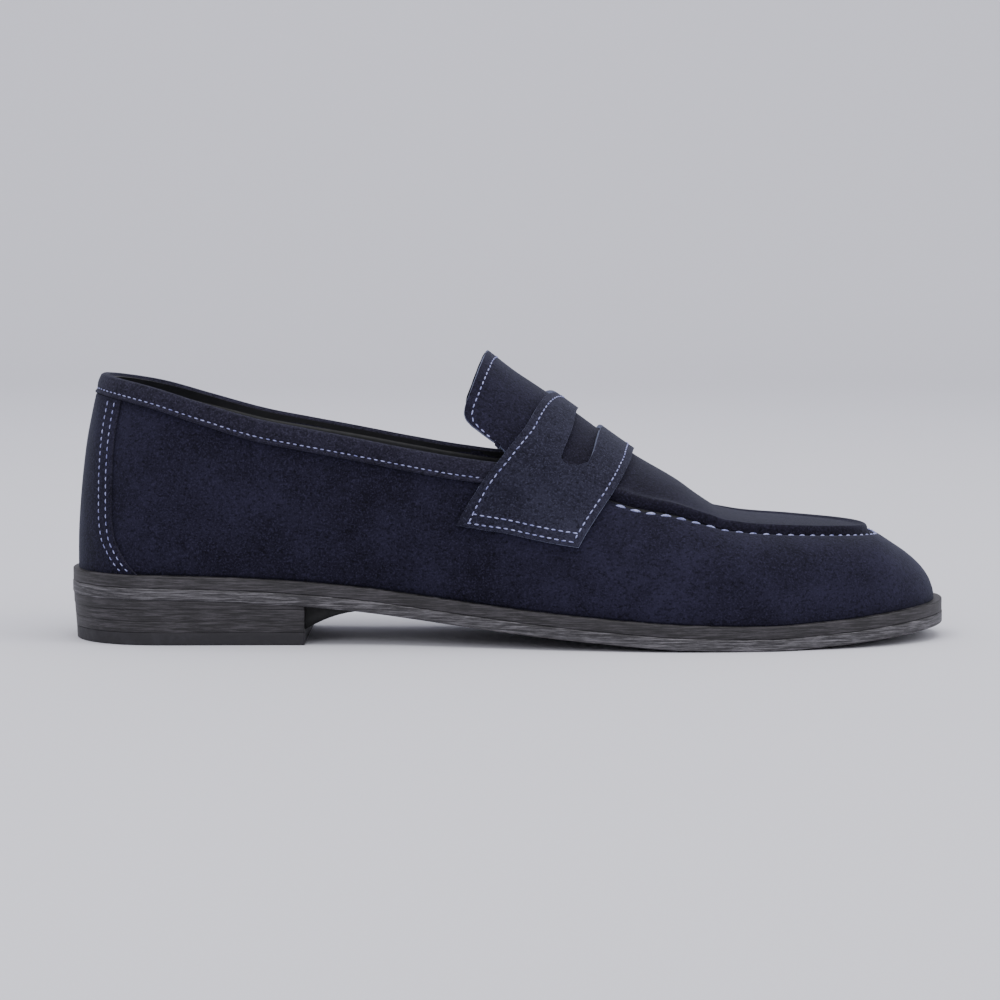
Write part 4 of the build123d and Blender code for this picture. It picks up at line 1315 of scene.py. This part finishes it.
class Graph:
    """A node tree with short ways to add and join nodes."""

    def __init__(self, tree: bpy.types.NodeTree) -> None:
        """Starts on a tree."""
        self.tree = tree

    def add(self, kind: str, **settings: object) -> bpy.types.Node:
        """Adds a node; settings name its properties, or its inputs when set as in_N."""
        node = self.tree.nodes.new(kind)
        for key, value in settings.items():
            if key.startswith("in_"):
                node.inputs[int(key[3:])].default_value = value
            else:
                setattr(node, key, value)
        return node

    def join(self, source: bpy.types.NodeSocket, target: bpy.types.NodeSocket) -> None:
        """Links two sockets."""
        self.tree.links.new(source, target)

    def noise(self, vector: bpy.types.NodeSocket, scale: float, detail: float = 3.0,
              rough: float = 0.55) -> bpy.types.NodeSocket:
        """Value of a noise texture."""
        node = self.add("ShaderNodeTexNoise")
        node.inputs["Scale"].default_value = scale
        node.inputs["Detail"].default_value = detail
        node.inputs["Roughness"].default_value = rough
        self.join(vector, node.inputs["Vector"])
        return node.outputs["Fac"]

    def stretch(self, vector: bpy.types.NodeSocket,
                scale: tuple[float, float, float]) -> bpy.types.NodeSocket:
        """Vector scaled along its axes."""
        node = self.add("ShaderNodeMapping")
        node.inputs["Scale"].default_value = scale
        self.join(vector, node.inputs["Vector"])
        return node.outputs["Vector"]

    def ramp(self, value: bpy.types.NodeSocket, low: float, high: float, out_low: float = 0.0,
             out_high: float = 1.0) -> bpy.types.NodeSocket:
        """Value mapped from one range to another and clamped."""
        node = self.add("ShaderNodeMapRange", in_1=low, in_2=high, in_3=out_low, in_4=out_high)
        self.join(value, node.inputs[0])
        return node.outputs[0]

    def math(self, kind: str, first: bpy.types.NodeSocket, second: object) -> bpy.types.NodeSocket:
        """Sum, product or the like of a socket and a socket or number."""
        node = self.add("ShaderNodeMath", operation=kind)
        self.join(first, node.inputs[0])
        if isinstance(second, (int, float)):
            node.inputs[1].default_value = second
        else:
            self.join(second, node.inputs[1])
        return node.outputs[0]

    def mix(self, factor: bpy.types.NodeSocket, first: object,
            second: object) -> bpy.types.NodeSocket:
        """Colour between two colours or sockets."""
        node = self.add("ShaderNodeMix", data_type="RGBA")
        self.join(factor, node.inputs[0])
        for value, socket in ((first, node.inputs[6]), (second, node.inputs[7])):
            if isinstance(value, tuple):
                socket.default_value = value
            else:
                self.join(value, socket)
        return node.outputs[2]


class Effect(Enum):
    """Shared effects, each a node group."""

    NAP = "suede_nap"
    GRAIN = "fine_grain"
    LAYERS = "cut_layers"


class Effects:
    """Builds each shared node group once."""

    @staticmethod
    def _shell(effect: Effect, colours: tuple[str, ...],
               floats: tuple[str, ...]) -> tuple[Graph, bpy.types.Node, bpy.types.Node]:
        """Empty group that gives a colour, a roughness and a height.

        Args:
            effect: the effect the group is for.
            colours: names of the colours it takes, after the vector.
            floats: names of the numbers it takes, after the colours.

        Returns:
            The group's graph, its input node and its output node.
        """
        tree = bpy.data.node_groups.new(effect.value, "ShaderNodeTree")
        sockets = [("Vector", "INPUT", "Vector")]
        sockets += [(label, "INPUT", "Color") for label in colours]
        sockets += [(label, "INPUT", "Float") for label in floats]
        sockets += [("Color", "OUTPUT", "Color"), ("Roughness", "OUTPUT", "Float"),
                    ("Height", "OUTPUT", "Float")]
        for label, way, kind in sockets:
            tree.interface.new_socket(label, in_out=way, socket_type="NodeSocket" + kind)
        graph = Graph(tree)
        return graph, graph.add("NodeGroupInput"), graph.add("NodeGroupOutput")

    @classmethod
    def get(cls, effect: Effect) -> bpy.types.NodeTree:
        """The effect's group, built on first use."""
        found = bpy.data.node_groups.get(effect.value)
        if found is not None:
            return found
        makers = {Effect.NAP: cls._nap, Effect.GRAIN: cls._grain, Effect.LAYERS: cls._layers}
        return makers[effect]().tree

    @classmethod
    def _nap(cls) -> Graph:
        """Brushed fibres: blotches that lie light or dark, and a short fine pile."""
        graph, given, put = cls._shell(Effect.NAP, ("Base", "Light", "Dark"), ("Blotch",))
        vector = given.outputs["Vector"]
        broad = graph.noise(vector, 24.0, 2.0, 0.5)
        patchy = graph.noise(vector, 90.0, 4.0, 0.6)
        brushed = graph.noise(graph.stretch(vector, (0.8, 1.0, 1.2)), 900.0, 3.0, 0.7)
        pile = graph.noise(vector, 1500.0, 3.0, 0.8)
        blotch = graph.math("MULTIPLY", graph.ramp(broad, 0.42, 0.68), 0.65)
        blotch = graph.math("ADD", blotch,
                            graph.math("MULTIPLY", graph.ramp(patchy, 0.40, 0.68), 0.45))
        blotch = graph.math("MULTIPLY", blotch, given.outputs["Blotch"])
        lit = graph.mix(blotch, given.outputs["Base"], given.outputs["Light"])
        low = graph.ramp(brushed, 0.52, 0.34, 0.0, 0.75)
        shaded = graph.mix(low, lit, given.outputs["Dark"])
        speck = graph.ramp(pile, 0.50, 0.66, 0.0, 0.9)
        graph.join(graph.mix(speck, shaded, given.outputs["Light"]), put.inputs["Color"])
        graph.join(graph.ramp(brushed, 0.3, 0.7, 0.98, 0.88), put.inputs["Roughness"])
        height = graph.math("ADD", graph.math("MULTIPLY", brushed, 0.6),
                            graph.math("MULTIPLY", pile, 0.3))
        graph.join(graph.math("ADD", height, graph.math("MULTIPLY", patchy, 0.5)),
                   put.inputs["Height"])
        return graph

    @classmethod
    def _grain(cls) -> Graph:
        """Small pebbled grain with faint creases and scuffs."""
        graph, given, put = cls._shell(Effect.GRAIN, ("Base", "Worn"), ("Wear", "Gloss"))
        vector = given.outputs["Vector"]
        cells = graph.add("ShaderNodeTexVoronoi", feature="SMOOTH_F1")
        cells.inputs["Scale"].default_value = 900.0
        graph.join(vector, cells.inputs["Vector"])
        scuff = graph.ramp(graph.noise(vector, 60.0, 5.0, 0.7), 0.5, 0.72)
        scuff = graph.math("MULTIPLY", scuff, given.outputs["Wear"])
        graph.join(graph.mix(scuff, given.outputs["Base"], given.outputs["Worn"]),
                   put.inputs["Color"])
        fine = graph.ramp(graph.noise(vector, 340.0, 3.0), 0.3, 0.7, -0.06, 0.06)
        rough = graph.math("ADD", given.outputs["Gloss"], fine)
        graph.join(graph.math("ADD", rough, graph.math("MULTIPLY", scuff, 0.2)),
                   put.inputs["Roughness"])
        graph.join(graph.math("ADD", graph.math("MULTIPLY", cells.outputs["Distance"], 0.7),
                              graph.math("MULTIPLY", graph.noise(vector, 1500.0), 0.4)),
                   put.inputs["Height"])
        return graph

    @classmethod
    def _layers(cls) -> Graph:
        """Cut edge: long fine streaks that run level round the sole."""
        graph, given, put = cls._shell(Effect.LAYERS, ("Base", "Pale"), ("Gloss",))
        vector = given.outputs["Vector"]
        streak = graph.noise(graph.stretch(vector, (0.05, 0.05, 1.0)), 1900.0, 5.0, 0.8)
        stain = graph.noise(vector, 70.0, 4.0, 0.6)
        pale = graph.math("MULTIPLY", graph.ramp(streak, 0.45, 0.66),
                          graph.ramp(stain, 0.3, 0.7, 0.35, 1.0))
        graph.join(graph.mix(pale, given.outputs["Base"], given.outputs["Pale"]),
                   put.inputs["Color"])
        uneven = graph.ramp(streak, 0.3, 0.7, -0.08, 0.12)
        graph.join(graph.math("ADD", given.outputs["Gloss"], uneven), put.inputs["Roughness"])
        graph.join(graph.math("ADD", graph.math("MULTIPLY", streak, 0.7),
                              graph.math("MULTIPLY", graph.noise(vector, 900.0), 0.3)),
                   put.inputs["Height"])
        return graph


# ---------------------------------------------------------------- finishes
class Surface:
    """A material with its shader, ready for an effect group or plain nodes."""

    def __init__(self, name: str, bump_mm: float, level: float = 0.4) -> None:
        """Makes the material.

        Args:
            name: the material's name.
            bump_mm: depth of its relief in millimetres.
            level: specular level.
        """
        self.material = bpy.data.materials.new(name)
        self.material.use_nodes = True
        self.graph = Graph(self.material.node_tree)
        self.shader = self.material.node_tree.nodes["Principled BSDF"]
        self.shader.inputs["Specular IOR Level"].default_value = level
        self.relief = self.graph.add("ShaderNodeBump")
        self.relief.inputs["Strength"].default_value = 1.0
        self.relief.inputs["Distance"].default_value = bump_mm * MM
        self.graph.join(self.relief.outputs["Normal"], self.shader.inputs["Normal"])
        self.place = self.graph.add("ShaderNodeTexCoord").outputs["Object"]

    def effect(self, effect: Effect, **values: object) -> bpy.types.Node:
        """Adds a shared effect and joins its outputs to the shader."""
        node = self.graph.add("ShaderNodeGroup", node_tree=Effects.get(effect))
        self.graph.join(self.place, node.inputs["Vector"])
        for key, value in values.items():
            node.inputs[key.capitalize()].default_value = value
        self.finish(node.outputs["Color"], node.outputs["Roughness"], node.outputs["Height"])
        return node

    def finish(self, colour: bpy.types.NodeSocket, rough: bpy.types.NodeSocket,
               height: bpy.types.NodeSocket) -> bpy.types.Material:
        """Joins colour, roughness and height to the shader."""
        self.graph.join(colour, self.shader.inputs["Base Color"])
        self.graph.join(rough, self.shader.inputs["Roughness"])
        self.graph.join(height, self.relief.inputs["Height"])
        return self.material


@dataclass(frozen=True)
class SuedeFinish:
    """Brushed suede, with blotches where the nap lies another way."""

    name: str
    base: tuple[float, float, float, float]
    light: tuple[float, float, float, float]
    dark: tuple[float, float, float, float]
    blotch: float = 0.6
    pile_mm: float = 0.22
    sheen: float = 0.1

    def build(self) -> bpy.types.Material:
        """The material."""
        surface = Surface(self.name, self.pile_mm, 0.15)
        surface.shader.inputs["Sheen Weight"].default_value = self.sheen
        surface.shader.inputs["Sheen Roughness"].default_value = 0.45
        surface.shader.inputs["Sheen Tint"].default_value = (0.55, 0.6, 0.8, 1.0)
        surface.effect(Effect.NAP, base=self.base, light=self.light, dark=self.dark,
                       blotch=self.blotch)
        return surface.material


@dataclass(frozen=True)
class LeatherFinish:
    """Smooth leather or rubber with a fine grain and some wear."""

    name: str
    base: tuple[float, float, float, float]
    worn: tuple[float, float, float, float]
    wear: float = 0.5
    gloss: float = 0.5
    grain_mm: float = 0.05

    def build(self) -> bpy.types.Material:
        """The material."""
        surface = Surface(self.name, self.grain_mm)
        surface.effect(Effect.GRAIN, base=self.base, worn=self.worn, wear=self.wear,
                       gloss=self.gloss)
        return surface.material


@dataclass(frozen=True)
class EdgeFinish:
    """Cut and inked edge of the sole, with level streaks."""

    name: str
    base: tuple[float, float, float, float]
    pale: tuple[float, float, float, float]
    gloss: float = 0.5
    grain_mm: float = 0.08

    def build(self) -> bpy.types.Material:
        """The material."""
        surface = Surface(self.name, self.grain_mm)
        surface.effect(Effect.LAYERS, base=self.base, pale=self.pale, gloss=self.gloss)
        return surface.material


@dataclass(frozen=True)
class ThreadFinish:
    """Waxed thread with twisted strands."""

    name: str
    base: tuple[float, float, float, float]
    shade: tuple[float, float, float, float]

    def build(self) -> bpy.types.Material:
        """The material."""
        surface = Surface(self.name, 0.12, 0.3)
        graph = surface.graph
        twist = graph.add("ShaderNodeTexWave", wave_type="BANDS", bands_direction="DIAGONAL")
        twist.inputs["Scale"].default_value = 420.0
        twist.inputs["Distortion"].default_value = 2.0
        graph.join(surface.place, twist.inputs["Vector"])
        soil = graph.ramp(graph.noise(surface.place, 500.0, 3.0), 0.35, 0.7)
        colour = graph.mix(soil, self.base, self.shade)
        surface.finish(colour, graph.ramp(soil, 0.0, 1.0, 0.6, 0.85), twist.outputs["Fac"])
        return surface.material


@dataclass(frozen=True)
class CoarseFinish:
    """Cork, foam or fibre board: crumbs of two colours."""

    name: str
    base: tuple[float, float, float, float]
    crumb: tuple[float, float, float, float]
    scale: float = 600.0
    rough: float = 0.9

    def build(self) -> bpy.types.Material:
        """The material."""
        surface = Surface(self.name, 0.2, 0.2)
        graph = surface.graph
        cells = graph.add("ShaderNodeTexVoronoi", feature="F1")
        cells.inputs["Scale"].default_value = self.scale
        graph.join(surface.place, cells.inputs["Vector"])
        mask = graph.ramp(cells.outputs["Distance"], 0.15, 0.7)
        speck = graph.noise(surface.place, self.scale * 2)
        colour = graph.mix(graph.math("MULTIPLY", mask, speck), self.base, self.crumb)
        surface.finish(colour, graph.ramp(speck, 0.0, 1.0, self.rough - 0.1, self.rough),
                       cells.outputs["Distance"])
        return surface.material


@dataclass(frozen=True)
class SteelFinish:
    """Brushed spring steel."""

    name: str
    base: tuple[float, float, float, float]

    def build(self) -> bpy.types.Material:
        """The material."""
        surface = Surface(self.name, 0.01, 0.5)
        surface.shader.inputs["Metallic"].default_value = 1.0
        graph = surface.graph
        lines = graph.noise(graph.stretch(surface.place, (0.05, 1.0, 1.0)), 2500.0, 4.0)
        colour = graph.mix(lines, self.base, tuple(0.7 * v for v in self.base[:3]) + (1.0,))
        surface.finish(colour, graph.ramp(lines, 0.2, 0.8, 0.25, 0.45), lines)
        return surface.material


@dataclass
class Wardrobe:
    """Every finish of the shoe, each built once."""

    made: dict[str, bpy.types.Material] = field(default_factory=dict)

    @staticmethod
    def finishes() -> tuple[object, ...]:
        """The list of finishes."""
        return (
            SuedeFinish("suede", linear(15, 13, 27), linear(43, 41, 62), linear(4, 4, 9)),
            SuedeFinish("suede_apron", linear(17, 14, 27), linear(42, 40, 58), linear(4, 4, 9),
                        blotch=0.45),
            SuedeFinish("suede_band", linear(25, 23, 36), linear(54, 52, 70), linear(8, 8, 14),
                        blotch=0.4),
            SuedeFinish("strap_suede", linear(26, 25, 39), linear(55, 55, 73), linear(9, 9, 16),
                        blotch=0.5),
            # Pale suede on the strap's and tongue's cut edges: a painted highlight, far lighter
            # than the suede itself.
            SuedeFinish("edge_painted_highlight", linear(92, 96, 120), linear(120, 126, 150), linear(58, 60, 80),
                        pile_mm=0.22, sheen=0.1),
            LeatherFinish("lining_leather", linear(13, 13, 19), linear(26, 26, 34), 0.4, 0.6),
            LeatherFinish("sock_leather", linear(15, 15, 21), linear(34, 34, 42), 0.6, 0.55),
            EdgeFinish("midsole_edge", linear(44, 42, 46), linear(144, 141, 147), 0.55),
            EdgeFinish("outsole_edge", linear(38, 36, 40), linear(134, 131, 137), 0.55),
            EdgeFinish("heel_leather", linear(24, 22, 25), linear(84, 80, 86), 0.55),
            # Near-black finish of the breast fillet: painted shade for the recess under the waist,
            # much darker than the heel's leather.
            LeatherFinish("fillet_painted_shade", linear(6, 6, 7), linear(14, 14, 16), 0.3, 0.6),
            LeatherFinish("heel_rubber", linear(32, 30, 35), linear(58, 56, 62), 0.6, 0.6, 0.09),
            ThreadFinish("thread", linear(166, 170, 214), linear(106, 108, 158)),
            CoarseFinish("cork", linear(150, 110, 70), linear(90, 60, 36)),
            CoarseFinish("foam", linear(120, 118, 110), linear(80, 78, 74), 900.0, 0.95),
            CoarseFinish("fibre_board", linear(150, 130, 100), linear(110, 92, 66), 1200.0),
            SteelFinish("steel", linear(170, 172, 176)),
        )

    def build(self) -> "Wardrobe":
        """Builds all of them."""
        for finish in self.finishes():
            self.made[finish.name] = finish.build()
        LOG.info("%d finishes built", len(self.made))
        return self

    def pick(self, *names: str) -> list[bpy.types.Material]:
        """Material slots for a piece."""
        return [self.made[name] for name in names]

    def dress(self, node: str, name: str) -> None:
        """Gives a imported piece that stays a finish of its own."""
        piece = bpy.data.objects.get(node)
        if piece is None:
            LOG.warning("no piece called %s", node)
            return
        piece.data.materials.clear()
        piece.data.materials.append(self.made[name])


# ---------------------------------------------------------------- stage
@dataclass
class Studio:
    """Pale sweep, soft lights and the camera."""

    depth: float = 3.0
    tone: tuple[float, float, float, float] = linear(221, 220, 229)
    eye: tuple[float, float, float] = (-0.0028, -1.2, 0.145)
    aim: tuple[float, float, float] = (-0.0028, 0.0, 0.0465)
    lens: float = 125.67

    def sweep(self) -> bpy.types.Object:
        """Floor that curves up into a backdrop."""
        bm = bmesh.new()
        bmesh.ops.create_grid(bm, x_segments=8, y_segments=60, size=1.0)
        for vert in bm.verts:
            run = (vert.co.y + 1) / 2
            vert.co.x *= self.depth * 1.5
            if run < 0.6:
                vert.co.y, vert.co.z = -2.2 + run / 0.6 * 4.0, 0.0
            elif run < 0.8:
                turn = (run - 0.6) / 0.2 * math.pi / 2
                vert.co.y, vert.co.z = 1.8 + 0.8 * math.sin(turn), 0.8 * (1 - math.cos(turn))
            else:
                vert.co.y, vert.co.z = 2.6, 0.8 + (run - 0.8) / 0.2 * 2.6
        surface = Surface("studio_paper", 0.05, 0.2)
        graph = surface.graph
        tone = graph.mix(graph.noise(surface.place, 3.0), self.tone,
                         tuple(0.97 * v for v in self.tone[:3]) + (1.0,))
        fine = graph.noise(surface.place, 900.0)
        surface.finish(tone, graph.ramp(fine, 0.2, 0.8, 0.8, 0.9), fine)
        return Maker.finish(bm, "studio_sweep", [surface.material])

    @staticmethod
    def light(name: str, place: tuple[float, float, float], aim: tuple[float, float, float],
              size: tuple[float, float], power: float) -> bpy.types.Object:
        """A rectangular soft light that points at a place."""
        data = bpy.data.lights.new(name, "AREA")
        data.shape = "RECTANGLE"
        data.size, data.size_y = size
        data.energy = power
        lamp = bpy.data.objects.new(name, data)
        lamp.location = place
        lamp.rotation_euler = (Vector(aim) - Vector(place)).to_track_quat("-Z", "Y").to_euler()
        bpy.context.scene.collection.objects.link(lamp)
        return lamp

    def camera(self) -> bpy.types.Object:
        """The camera, level with the shoe's middle and a little above it."""
        data = bpy.data.cameras.new("view")
        data.lens = self.lens
        data.sensor_width = 36.0
        camera = bpy.data.objects.new("view", data)
        camera.location = self.eye
        way = Vector(self.aim) - Vector(self.eye)
        camera.rotation_euler = way.to_track_quat("-Z", "Y").to_euler()
        bpy.context.scene.collection.objects.link(camera)
        bpy.context.scene.camera = camera
        return camera

    def build(self) -> None:
        """Sets everything up."""
        world = bpy.data.worlds.new("studio")
        world.use_nodes = True
        shade = world.node_tree.nodes["Background"]
        shade.inputs["Color"].default_value = linear(236, 238, 242)
        shade.inputs["Strength"].default_value = 0.85
        bpy.context.scene.world = world
        self.camera()
        lamps = [
            self.light("overhead", (0.0, -0.15, 1.5), (0, 0, 0.03), (1.8, 1.2), 17),
            self.light("front", (-0.5, -1.5, 0.9), (0, 0, 0.05), (1.2, 0.9), 8),
            self.light("backdrop", (0.0, 0.7, 1.7), (0, 2.6, 0.7), (3.4, 0.8), 20),
            self.light("toe_side", (1.3, -0.5, 0.8), (0.05, 0, 0.05), (0.7, 0.9), 7),
        ]
        self.sweep()


def main() -> None:
    """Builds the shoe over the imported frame, from the upper down, and lights it."""
    logging.basicConfig(level=logging.INFO, format="%(name)s: %(message)s")
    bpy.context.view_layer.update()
    wear = Wardrobe().build()
    wall = WallPanel()
    wall.make_patch()
    wall.make(wear.pick("suede"))
    apron = Apron()
    apron.make_patch()
    apron.make(wear.pick("suede_apron"))
    arch = Arch()
    arch.make_patch()
    strap = Strap(arch=arch)
    strap.make(wear.pick("strap_suede", "edge_painted_highlight"))
    tongue = Tongue(arch=arch)
    tongue.make(wear.pick("suede", "edge_painted_highlight"), wear.pick("lining_leather"))
    collar = Collar(wall=wall)
    collar.make(wear.pick("suede_band"))
    collar.make_lining(wear.pick("lining_leather"))
    backstay = Backstay(wall=wall)
    backstay.make(wear.pick("suede", "suede_band"))
    VampLining().make(wear.pick("lining_leather"))
    threads = Threads(wall, strap, collar, backstay, tongue)
    for row in (threads.moc_seam, threads.strap_rows, threads.collar_row, threads.backstay_rows,
                threads.tongue_row):
        row(wear.pick("thread"))
    SoleStack().make(wear.pick("heel_leather"), wear.pick("heel_rubber"),
                     wear.pick("outsole_edge"))
    BreastFillet().make(wear.pick("fillet_painted_shade"))
    Insole().make(wear.pick("sock_leather"))
    for node, name in (("interlining", "lining_leather"), ("heel_counter", "fibre_board"),
                       ("toe_puff", "fibre_board"), ("insole_board", "fibre_board"),
                       ("bottom_filler", "cork"), ("steel_shank", "steel"),
                       ("heel_pad", "foam"), ("heel_nails", "steel")):
        wear.dress(node, name)
    Studio().build()


if __name__ == "__main__":
    main()
